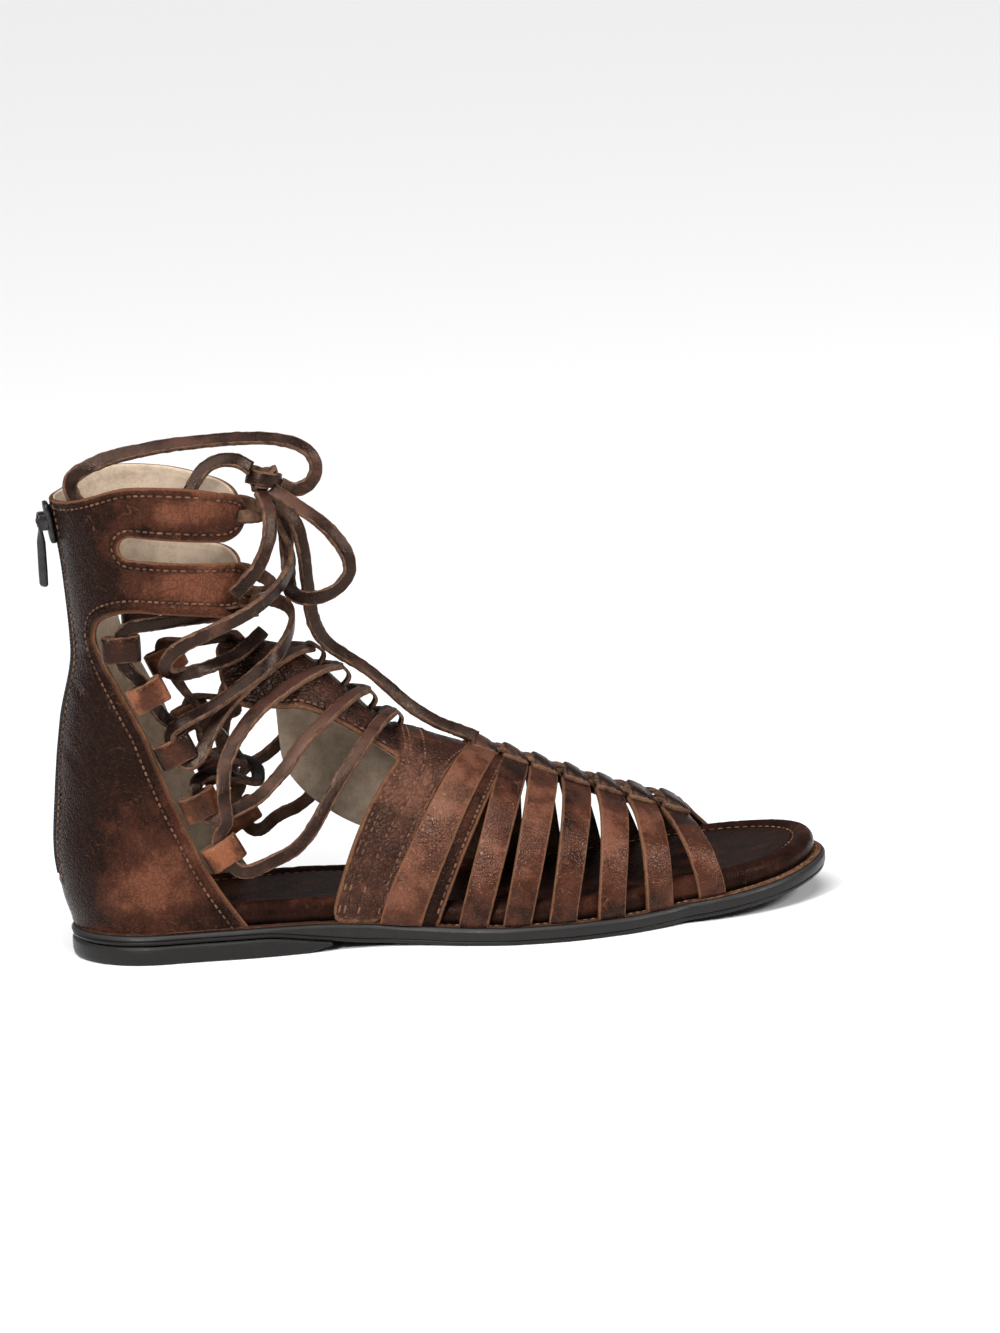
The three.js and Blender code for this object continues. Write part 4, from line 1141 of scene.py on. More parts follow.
@dataclass(frozen=True)
class Rubber:
    """Black sole rubber with a buffed rim and a film of dust."""

    name: str
    black: Colour = (0.0125, 0.0116, 0.0112)
    buffed: Colour = (0.04, 0.038, 0.037)
    dusty: Colour = (0.07, 0.062, 0.056)
    dust: float = 0.12

    def build(self) -> bpy.types.Material:
        """Builds the material."""
        m = Material(self.name)
        worn = m.wear(0.9)
        colour = m.blend(m.math("MULTIPLY", worn, 0.6), self.black, self.buffed)
        facing = m.add("NewGeometry").outputs["Normal"]
        dust = m.effect(make_dust, normal=facing, amount=self.dust).outputs[0]
        colour = m.blend(dust, colour, self.dusty)
        drawn = m.add("Mapping", {"Vector": m.place, "Scale": (0.15, 1, 1.6)}).outputs[0]
        streaks = m.noise(drawn, 900, 4, 0.6)
        rough = m.remap(m.math("ADD", streaks, m.math("MULTIPLY", dust, 0.6)), 0.3, 0.9, 0.3, 0.55)
        normal = m.bump(m.math("ADD", streaks, m.noise(m.place, 1700, 2)), 0.05)
        return m.finish(base_color=colour, roughness=rough, normal=normal, specular_ior_level=0.16)


@dataclass(frozen=True)
class Plating:
    """Gunmetal plating, worn brighter on the edges."""

    name: str
    colour: Colour = (0.028, 0.027, 0.027)
    bright: Colour = (0.22, 0.21, 0.2)
    roughness: float = 0.3

    def build(self) -> bpy.types.Material:
        """Builds the material."""
        m = Material(self.name)
        patch = m.noise(m.place, 420, 4, 0.6)
        worn = m.wear(0.25)
        colour = m.blend(m.math("MULTIPLY", worn, 0.6), self.colour, self.bright)
        colour = m.blend(m.remap(patch, 0.4, 0.8, 0, 0.25), colour, self.bright)
        rough = m.remap(patch, 0.3, 0.8, self.roughness, self.roughness + 0.22)
        normal = m.bump(m.noise(m.place, 2500, 3), 0.02)
        return m.finish(base_color=colour, roughness=rough, normal=normal, metallic=0.95)


@dataclass(frozen=True)
class Thread:
    """Waxed sewing thread, laid up in two strands."""

    name: str
    dark: Colour
    light: Colour

    def build(self) -> bpy.types.Material:
        """Builds the material."""
        m = Material(self.name)
        turned = m.add("Mapping", {"Vector": m.place, "Rotation": (0.6, 0.7, 0.5)}).outputs[0]
        wave = m.add("TexWave", {"Vector": turned, "Scale": 900.0, "Distortion": 1.5,
                                 "Detail": 1.0}).outputs["Fac"]
        tone = m.math("ADD", m.value("tone"), 0.5, clamp=True)
        colour = m.blend(tone, self.dark, self.light)
        # Painted shade: the colour darkens in the grooves between the two strands, where the bump is low.
        colour = m.blend(m.remap(wave, 0.1, 0.7, 0.35, 0), colour, tuple(0.3 * c for c in self.dark))
        return m.finish(base_color=colour, roughness=0.55, normal=m.bump(wave, 0.08), specular_ior_level=0.15)


@dataclass(frozen=True)
class Tape:
    """Woven zip tape."""

    name: str
    dark: Colour = (0.012, 0.009, 0.008)
    light: Colour = (0.05, 0.036, 0.03)

    def build(self) -> bpy.types.Material:
        """Builds the material."""
        m = Material(self.name)
        part = m.add("SeparateXYZ", {0: m.place})
        warp = m.math("SINE", m.math("MULTIPLY", part.outputs[1], 14000.0))
        weft = m.math("SINE", m.math("MULTIPLY", part.outputs[2], 11000.0))
        weave = m.math("MULTIPLY", warp, weft)
        # Painted shade and light: the colour is darker in the weave's hollows and lighter on its crossings,
        # following the bump.
        colour = m.blend(m.remap(weave, -0.8, 0.8), self.dark, self.light)
        return m.finish(base_color=colour, roughness=0.85, normal=m.bump(weave, 0.12), specular_ior_level=0.15)


class Finishes:
    """Every finish of the sandal, built once."""

    def __init__(self) -> None:
        """Builds them all."""
        self.chestnut = Hide("waxed_chestnut", (0.011, 0.004, 0.003), (0.047, 0.0155, 0.0092),
                             (0.13, 0.046, 0.0255), grain=950, wrinkle=0.6, relief=0.2, gloss=(0.22, 0.36),
                             sheen=0.18, contrast=0.8).build()
        self.strap = Hide("strap_chestnut", (0.012, 0.0042, 0.0031), (0.056, 0.018, 0.0102),
                          (0.14, 0.052, 0.03), grain=1000, wrinkle=0.4, relief=0.11, gloss=(0.15, 0.3),
                          wear=0.9, scratch=0.9, sheen=0.5).build()
        self.dark_grain = Hide("dark_grained_hide", (0.009, 0.0036, 0.0029), (0.035, 0.0122, 0.0082),
                               (0.105, 0.04, 0.025), grain=760, wrinkle=0.8, relief=0.2, gloss=(0.24, 0.36),
                               scratch=0.15, sheen=0.5).build()
        self.lace = Hide("lace_leather", (0.0055, 0.0028, 0.0024), (0.0165, 0.0075, 0.006),
                         (0.065, 0.028, 0.02), grain=1300, wrinkle=0.2, relief=0.05, gloss=(0.22, 0.34),
                         wear=0.3, scratch=0.3, sheen=0.5).build()
        self.loop = Hide("loop_leather", (0.014, 0.0048, 0.0034), (0.06, 0.0185, 0.0095), (0.21, 0.072, 0.034),
                         grain=1000, wrinkle=0.3, relief=0.09, gloss=(0.2, 0.32), wear=0.7, sheen=0.5).build()
        self.insole = Hide("burnished_insole", (0.006, 0.0028, 0.0023), (0.016, 0.006, 0.0042),
                           (0.055, 0.018, 0.0105), grain=900, wrinkle=0.3, relief=0.08, gloss=(0.2, 0.34),
                           wear=0.4, scratch=0.2, sheen=0.1).build()
        self.lining = RawHide("suede_lining", (0.39, 0.29, 0.207), (0.58, 0.455, 0.343), 1900, 0.14,
                              sheen=0.15).build()
        self.flesh = RawHide("flesh_side", (0.04, 0.018, 0.011), (0.12, 0.064, 0.037), 1300, 0.2).build()
        self.cut = RawHide("cut_edge", (0.045, 0.019, 0.011), (0.185, 0.09, 0.048), 1500, 0.2, 0.75).build()
        self.lace_cut = RawHide("lace_edge", (0.02, 0.0095, 0.007), (0.17, 0.088, 0.052), 1700, 0.25,
                                0.8).build()
        self.rubber = Rubber("sole_rubber").build()
        self.metal = Plating("gunmetal").build()
        self.tape = Tape("zip_tape_weave").build()
        self.thread = Thread("brown_thread", (0.055, 0.026, 0.016), (0.2, 0.1, 0.058)).build()
        self.pale_thread = Thread("tan_thread", (0.1, 0.045, 0.022), (0.28, 0.155, 0.08)).build()

    @property
    def lace_skins(self) -> list[bpy.types.Material]:
        """Returns the face, the flesh side and the cut edge of a lace."""
        return [self.lace, self.flesh, self.lace_cut]


# ---------------------------------------------------------------- studio

@dataclass(frozen=True)
class Studio:
    """The camera, a pale floor and soft light."""

    aim: tuple[float, float, float] = (160.0, 79.5, 70.4)
    distance: float = 2500.0
    elevation: float = 11.0
    yaw: float = 8.0
    roll: float = 3.0
    lens: float = 195.1
    floor_size: float = 40.0
    room: float = 0.16
    daylight: float = 2.6

    def build(self) -> None:
        """Builds the camera, then the floor and the lights."""
        self.camera()
        self.floor()
        self.lights()

    def camera(self) -> None:
        """Places the camera on the sandal's outer side, a little towards the heel."""
        tilt, turn, roll = (math.radians(v) for v in (self.elevation, self.yaw, self.roll))
        look = Vector((math.sin(turn) * math.cos(tilt), math.cos(turn) * math.cos(tilt), -math.sin(tilt)))
        right = Vector((math.cos(turn), -math.sin(turn), 0))
        up = right.cross(look)
        leaned = right * math.cos(roll) - up * math.sin(roll)
        upright = right * math.sin(roll) + up * math.cos(roll)
        data = bpy.data.cameras.new("camera")
        data.lens = self.lens
        data.clip_end = 100
        camera = bpy.data.objects.new("camera", data)
        place = Vector(to_frame(np.array(self.aim))) - look * self.distance * MM
        facing = Matrix((leaned, upright, -look)).transposed()
        camera.matrix_world = Matrix.Translation(place) @ facing.to_4x4()
        bpy.context.scene.collection.objects.link(camera)
        bpy.context.scene.camera = camera

    def floor(self) -> None:
        """Lays a wide pale floor."""
        half = self.floor_size / 2
        mesh = bpy.data.meshes.new("floor")
        corners = [(-half, -half, 0), (half, -half, 0), (half, half, 0), (-half, half, 0)]
        mesh.from_pydata(corners, [], [(0, 1, 2, 3)])
        m = Material("pale_floor")
        mesh.materials.append(m.finish(base_color=(0.93, 0.93, 0.93), roughness=0.9, specular_ior_level=0.1))
        floor = bpy.data.objects.new("floor", mesh)
        bpy.context.scene.collection.objects.link(floor)

    def lights(self) -> None:
        """Hangs a wide ceiling panel and three soft boxes, and lights the room evenly."""
        world = bpy.data.worlds.new("room")
        world.use_nodes = True
        background = world.node_tree.nodes["Background"]
        background.inputs["Color"].default_value = (1.0, 1.0, 1.0, 1)
        background.inputs["Strength"].default_value = self.room
        scene = bpy.context.scene
        scene.world = world
        scene.view_settings.view_transform = "Standard"
        target = Vector(to_frame(np.array((110.0, 0.0, 70.0))))
        lamps = [
            ("ceiling_panel", "SUN", (-400, -900, 2300), self.daylight, 0.9),
            ("softbox_front", "AREA", (-800, -1300, 1000), 23.0, 0.3),
            ("softbox_toe", "AREA", (1300, -700, 900), 13.0, 0.4),
            ("softbox_heel", "AREA", (-900, 500, 1000), 0.7, 0.5),
        ]
        for name, kind, place, power, size in lamps:
            data = bpy.data.lights.new(name, kind)
            data.energy = power
            if kind == "SUN":
                data.angle = size
            else:
                data.size = size
            lamp = bpy.data.objects.new(name, data)
            lamp.location = Vector(to_frame(np.array(place)))
            lamp.rotation_euler = (target - lamp.location).to_track_quat("-Z", "Y").to_euler()
            scene.collection.objects.link(lamp)


# ---------------------------------------------------------------- free laces

class Route(NamedTuple):
    """A free lace: its node, how it ends, which way its face looks, and the points it passes."""

    node: str
    piece: str
    far_end: str
    face: tuple[float, float, float]
    points: tuple


KNOT = (72.5, -6.5, 157.0)
FREE_LACES = [
    Route("lace_bow_collar", "bow_loop_over_collar", "object", (0.1, -0.75, 0.65), (
        (68, -9, 160.8), (64, -9.6, 163.6), (60, -9.8, 164.4), (55.6, -10, 163.8), (51.5, -11, 161.4),
        (48, -13, 157), (44, -15, 151.4), (36, -16.6, 148), (26, -16.6, 148), (17, -14.2, 149.6),
        (9.4, -11.4, 155), (8.2, -10.4, 161.4), (17.6, -11.2, 167), (34.8, -11, 170.2), (51.8, -9, 171),
        (65.3, -7.4, 170.8), (75.9, -6.8, 169.8), (84, -7.4, 167.4), (88.6, -8.4, 163.6), (89.6, -9, 158.8),
        (87, -9, 154.2), (82, -8.4, 152.6), (77.6, -7.4, 154.4))),
    Route("lace_bow_side", "bow_loop_beside", "object", (0.2, -0.9, 0.45), (
        (74.6, -11.4, 153.6), (78, -14.2, 151.2), (82.4, -16.6, 148), (88.2, -19.2, 143.6), (93.4, -21, 137.8),
        (96.8, -22, 131.6), (97.2, -22, 126), (93.9, -21, 121.2), (88.2, -19, 118), (82, -15.4, 117.4),
        (79, -9, 119), (79.4, -1.6, 125), (79.4, 1.6, 136), (78, 0.8, 147), (76, -1.6, 152.2))),
    Route("lace_end_short", "lace_tail_short", "bare", (0.4, -0.9, 0.2), (
        (70.4, -12, 153), (72, -16, 148.6), (72, -20, 142), (69.8, -23.4, 135.6), (66, -25.4, 129.6),
        (62, -27, 125.8), (57.8, -28.4, 122.4))),
    Route("lace_end_long", "lace_tail_long", "bare", (0.35, -0.75, 0.55), (
        (74.2, -6.4, 151.2), (77, -7.4, 147.8), (81.4, -8.6, 142.4), (83.6, -9, 134), (84.4, -8.6, 125),
        (85.2, -6.8, 115), (87, -4, 105.6), (91, -1, 98.8), (97, 2, 93.6), (103.6, 4, 88.6), (111, 5, 81.6),
        (119, 5.4, 73.6), (127.7, 5, 67.6), (134.6, 4.8, 64.4), (140.6, 5, 61.4))),
]


@dataclass
class Bow:
    """The bow: its knot, two loops and two tails, all of one flat lace."""

    finishes: Finishes
    thong: Thong = Thong()

    def build(self) -> list[bpy.types.Object]:
        """Builds the knot and the free laces that leave it."""
        skins = self.finishes.lace_skins
        knot = self.knot().piece("bow_knot", skins, "lace_leather", ["lace_knot"])
        pieces = [knot]
        for number, route in enumerate(FREE_LACES):
            line = spline(route.points)
            out = carried(line, route.face, 0.12)
            body = self.thong.body(line, out, number, 0.08)
            piece = body.piece(route.piece, skins, "lace_leather", [route.node])
            pieces.append(piece)
        return pieces

    def knot(self) -> Body:
        """Ties the knot: two turns of lace round the crossing and a tucked strand through them."""
        centre = np.array(KNOT)
        wraps = [
            ((1.0, 0.1, 0.22), (0.0, 1.0, 0.3), 3.3, 4.0, 0.0, 1.02),
            ((1.0, -0.1, -0.3), (0.1, 1.0, -0.12), 4.1, 4.9, 0.4, 1.02),
            ((0.25, -0.9, 0.35), (0.35, 0.25, 1.0), 4.6, 5.2, 0.42, 0.42),
            ((1.0, 0.0, 0.1), (0.0, 1.0, 0.0), 1.5, 1.9, 0.2, 1.02),
        ]
        parts = []
        for number, (first, second, short, long, start, turns) in enumerate(wraps):
            a = unit(np.array(first))
            b = unit(np.array(second) - a * np.dot(a, second))
            angle = (start + np.linspace(0, turns, 30)) * 2 * np.pi
            spoke = a * np.cos(angle)[:, None] * long + b * np.sin(angle)[:, None] * short
            slide = np.cross(a, b) * np.linspace(-0.9, 0.9, 30)[:, None]
            parts.append(self.thong.body(centre + spoke + slide, unit(spoke), 40 + number, 0.1))
        return Body.joined(parts)


# ---------------------------------------------------------------- sole and insole

def sole_ring(inset: float, height: Callable[[Array], Array], stations: int, to: float = 1.0,
              rise: float = 0.0) -> Array:
    """Lays a closed ring round the sole.

    Args:
        inset: How far in from the sole's outline it lies.
        height: The height of the face that it follows, for each x.
        stations: How many steps it has on each side.
        to: The share of the way to the toe at which it stops.
        rise: How high over that face it lies.

    Returns:
        Its points, along the outer side to the front and back along the inner.
    """
    shares = np.linspace(0, to, stations + 1)
    outer = LAST.sole_point(-1, shares, inset)
    inner = LAST.sole_point(1, shares, inset)[::-1]
    flat = np.vstack([outer, inner[0 if to < 1 else 1 : -1]])
    return np.column_stack([flat, height(flat[:, 0]) + rise])


def sewn_round(ring: Array, pitch: float, share: float, radius: float, start: float = 0.0) -> Body:
    """Sews level stitches along a ring of the sole.

    Args:
        ring: The ring's points.
        pitch: The stitches' spacing.
        share: How much of the spacing a stitch covers.
        radius: The thread's radius.
        start: The x at which the row begins on both sides.

    Returns:
        The stitches as one body.
    """
    line = resample(np.vstack([ring, ring[:1]]), pitch)
    line = line[line[:, 0] > start]
    middle, step = (line[1:] + line[:-1]) / 2, line[1:] - line[:-1]
    near = np.linalg.norm(step, axis=1) < 1.5 * pitch
    up = np.tile((0.0, 0.0, 1.0), (len(middle), 1))
    return stitch_row(middle[near], step[near] * share, up[near], radius)


def sole_body(rings: Sequence[Array], stations: int, across: int, under: Callable, over: Callable,
              closed: bool = True) -> Body:
    """Skins a stack of rings and fills its underside and top.

    Args:
        rings: The rings, from the underside up.
        stations: How many steps a ring has on each side.
        across: How many squares the fill has from side to side.
        under: The underside's height for X and Y.
        over: The top's height for X and Y.
        closed: Whether the rings come to a point at the toe.

    Returns:
        The closed body.
    """
    size = len(rings[0])
    points = list(rings)
    faces = []
    for k in range(len(rings) - 1):
        for i in range(size):
            j = (i + 1) % size
            faces.append((k * size + i, k * size + j, (k + 1) * size + j, (k + 1) * size + i))
    total = size * len(rings)
    for ring, start, height, turned in ((rings[0], 0, under, True), (rings[-1], total - size, over, False)):
        last = stations if not closed else stations - 1
        numbers = []
        for i in range(1, last + 1):
            left, right = i, size - i
            share = np.arange(1, across)[:, None] / across
            row = ring[left] * (1 - share) + ring[right] * share
            row[:, 2] = height(row[:, 0], row[:, 1], np.minimum(share[:, 0], 1 - share[:, 0]) * across)
            numbers.append([start + left, *range(total, total + across - 1), start + right])
            points.append(row)
            total += across - 1
        fill = [(numbers[0][j], start, numbers[0][j + 1]) for j in range(across)]
        for row, ahead in zip(numbers, numbers[1:]):
            fill += [(row[j], row[j + 1], ahead[j + 1], ahead[j]) for j in range(across)]
        if closed:
            fill += [(numbers[-1][j], numbers[-1][j + 1], start + stations) for j in range(across)]
        faces += [f[::-1] for f in fill] if turned else fill
    return Body.plain(np.vstack(points), faces)


@dataclass
class Sole:
    """The rubber outsole with its welt and tread, and the heel lift under it."""

    finishes: Finishes
    stations: int = 150
    lift_end: float = 84.0
    lift_flat: float = 76.0
    lift_slope: float = 0.22
    rib_pitch: float = 5.0
    rib_width: float = 2.6
    tread: float = 0.5

    def build(self) -> list[bpy.types.Object]:
        """Builds the outsole, its ribs, the welt's stitches and the heel lift."""
        skins = [self.finishes.rubber]
        return [
            self.outsole().piece("outsole_rubber", skins, "rubber", ["outsole"]),
            self.lift().piece("heel_lift_rubber", skins, "rubber", ["heel_lift"]),
            self.ribs().piece("outsole_tread", skins, "rubber"),
            self.welt().piece("welt_strip", [self.finishes.cut], "leather"),
            self.welt_stitches().piece("welt_stitching", [self.finishes.pale_thread], "leather"),
        ]

    def outsole(self) -> Body:
        """Builds the outsole: a tread line low down, a flat edge and a buffed bevel at the top."""
        under, over = LAST.under, LAST.over
        profile = [
            (1.7, under, 0.0), (1.15, under, 0.08), (0.5, under, 0.5), (0.3, under, 1.1), (0.3, under, 1.4),
            (0.62, under, 1.5), (0.62, under, 1.72), (0.12, under, 1.86), (0.0, under, 2.1), (0.0, over, -1.35),
            (0.06, over, -1.1), (0.5, over, -0.42), (0.8, over, -0.12), (1.3, over, 0.0), (5.0, over, 0.0),
        ]
        rings = [sole_ring(inset, face, self.stations, rise=rise) for inset, face, rise in profile]
        flat = lambda x, y, share: under(x) + self.tread * np.minimum(1, share / 1.5)
        body = sole_body(rings, self.stations, 18, flat, lambda x, y, share: over(x))
        worn = np.zeros(len(body.points))
        size = len(rings[0])
        for row, amount in ((10, 0.4), (11, 1.0), (12, 0.8), (8, 0.25), (9, 0.25)):
            worn[row * size : (row + 1) * size] = amount
        body.worn = worn
        return body

    def lift(self) -> Body:
        """Builds the heel lift, its front end feathered up into the waist."""
        end = math.acos(1 - 2 * self.lift_end / LAST.length) / math.pi
        foot = lambda x: np.maximum(0, (x - self.lift_flat) * self.lift_slope)
        top = lambda x: LAST.under(x) - LAST.gap
        mid = lambda share: lambda x: foot(x) + (top(x) - foot(x)) * share
        profile = [(1.8, foot), (1.1, lambda x: foot(x) + 0.12), (0.5, lambda x: foot(x) + 0.6),
                   (0.2, mid(0.3)), (0.15, mid(0.6)), (0.2, mid(0.86)), (0.5, mid(0.96)), (1.2, top)]
        stations = self.stations // 2
        rings = [sole_ring(inset, height, stations, end) for inset, height in profile]
        under = lambda x, y, share: foot(x) + 0.4 * np.minimum(1, share / 1.5)
        body = sole_body(rings, stations, 16, under, lambda x, y, share: top(x), closed=False)
        body.worn = np.zeros(len(body.points))
        body.worn[5 * len(rings[0]) : 7 * len(rings[0])] = 0.3
        return body

    def ribs(self) -> Body:
        """Builds the tread: shallow curved ribs under the forefoot and the heel."""
        parts = []
        for start, end, base in ((112.0, 236.0, LAST.under), (9.0, 70.0, lambda x: np.zeros_like(x))):
            for at in np.arange(start, end, self.rib_pitch):
                share = np.linspace(0.07, 0.93, 18)
                x = at - 5 * np.sin(np.pi * share) + 2.5
                left, right = LAST.sole_edge(-1, x) + 3.2, LAST.sole_edge(1, x) - 3.2
                y = left + (right - left) * share
                half = self.rib_width / 2
                corners = [(-half, self.tread + 0.25), (-half + 0.3, 0.0), (half - 0.3, 0.0),
                           (half, self.tread + 0.25)]
                rings = np.stack([np.stack([x + dx, y, base(x) + dz], 1) for dx, dz in corners], 1)
                parts.append(ring_tube(rings))
        return Body.joined(parts)

    def welt(self) -> Body:
        """Builds the raw leather rand that shows between the insole and the sole's edge."""
        profile = [(1.5, 0.02), (1.35, 0.3), (1.6, 0.52), (2.4, 0.6), (4.6, 0.55), (5.4, 0.1)]
        rings = [sole_ring(inset, LAST.over, self.stations, rise=rise) for inset, rise in profile]
        body = ring_tube(np.stack(rings, 1), closed=True)
        rng = np.random.default_rng(SEED)
        body.points[:, 2] += rng.normal(0, 0.05, len(body.points))
        body.tone = rng.normal(-2.4, 0.25, len(body.points)) + 2.2 * smoothstep(body.points[:, 0], 196, 226)
        return body

    def welt_stitches(self) -> Body:
        """Sews the rand round the toe."""
        return sewn_round(sole_ring(2.9, LAST.over, 400, rise=0.58), 2.7, 0.72, 0.36, 96.0)


@dataclass
class Footbed:
    """The padded insole, wrapped in burnished leather over a rolled edge."""

    finishes: Finishes
    stations: int = 220
    recess: float = 6.8
    toes: tuple = ((212, 25), (208, 8), (203, -4), (197, -15))

    def build(self) -> list[bpy.types.Object]:
        """Builds the pad and its row of stitches."""
        return [
            self.pad().piece("insole_pad", [self.finishes.insole], "insole_leather", ["footbed"]),
            self.stitches().piece("insole_stitching", [self.finishes.pale_thread], "insole_leather"),
        ]

    def top(self, x: Array, y: Array, share: Array) -> Array:
        """Returns the pad's top: a shallow print of the foot."""
        heel = bump(np.hypot(x - 32, y), 24)
        ball = bump(np.hypot((x - 165) / 1.2, y - 4), 30)
        arch = bump(np.hypot((x - 92) / 1.5, y - 16), 14)
        toes = sum(bump(np.hypot(x - at, y - side), 9) for at, side in self.toes)
        return LAST.over(x) + self.recess - 0.9 * heel - 0.7 * ball + 0.8 * arch - 0.45 * toes

    def pad(self) -> Body:
        """Builds the pad, its roll creased across where the leather was gathered."""
        profile = [(6.2, 0.3), (4.7, 0.45), (4.1, 1.0), (3.75, 2.0), (3.65, 3.2), (3.8, 4.5), (4.3, 5.8),
                   (5.1, 6.9), (6.1, 7.7), (7.2, 8.1), (8.2, 8.05), (9.1, 7.6), (9.8, 7.05), (10.3, 6.72),
                   (10.8, 6.7), (11.6, 6.85)]
        rings = [sole_ring(inset, LAST.over, self.stations, rise=rise) for inset, rise in profile]
        size = len(rings[0])
        place = np.linspace(0, 1, size, endpoint=False)
        rng = np.random.default_rng(SEED)
        pucker = np.zeros(size)
        for at in rng.uniform(0, 1, 46):
            gap = np.abs((place - at + 0.5) % 1 - 0.5)
            pucker += rng.uniform(0.12, 0.42) * (bump(gap, 0.0016) - 0.4 * bump(gap, 0.005))
        for k, ring in enumerate(rings[3:13], 3):
            weight = math.sin(math.pi * (k - 2) / 11)
            ring[:, 2] -= pucker * weight
        body = sole_body(rings, self.stations, 26, lambda x, y, share: LAST.over(x) + 0.3, self.top)
        height = body.points[:, 2] - LAST.over(body.points[:, 0])
        rim = np.minimum(np.abs(body.points[:, 1] - LAST.sole_edge(-1, body.points[:, 0])),
                         np.abs(body.points[:, 1] - LAST.sole_edge(1, body.points[:, 0])))
        # Painted light on one leather: lighter along the roll's crest and round its outer face as painted
        # highlights, and darker low on the roll under its bulge as painted shade.
        body.tone = 0.35 * bump(height - 7.6, 1.0) + 0.25 * bump(rim - 4, 2) - 0.5 * (height < 3)
        return body

    def stitches(self) -> Body:
        """Sews the cover down round the foot's print."""
        return sewn_round(sole_ring(10.6, LAST.over, 500, rise=6.72), 3.1, 0.74, 0.3)


# ---------------------------------------------------------------- quarter

class Blob(NamedTuple):
    """A lighter (+) or darker (-) patch painted on the leather's colour; some stand for light and shade."""

    x: float
    z: float
    wide: float
    tall: float
    amount: float


class Crease(NamedTuple):
    """A soft fold in the leather: where, its half length, its lean in degrees, and its depth and width."""

    a: float
    z: float
    half: float
    lean: float
    depth: float
    width: float


def folds(flat: Array, creases: Sequence[Crease]) -> Array:
    """Returns the relief of soft creases, each with a raised lip on both sides."""
    total = np.zeros(len(flat))
    for crease in creases:
        lean = math.radians(crease.lean)
        dx, dz = flat[:, 0] - crease.a, flat[:, 1] - crease.z
        along = (dx * math.cos(lean) + dz * math.sin(lean)) / crease.half
        across = -dx * math.sin(lean) + dz * math.cos(lean) + 1.4 * along**2
        shape = bump(across, crease.width) - 0.45 * bump(np.abs(across) - 2.2 * crease.width, crease.width)
        total -= crease.depth * shape * np.exp(-(along**4))
    return total


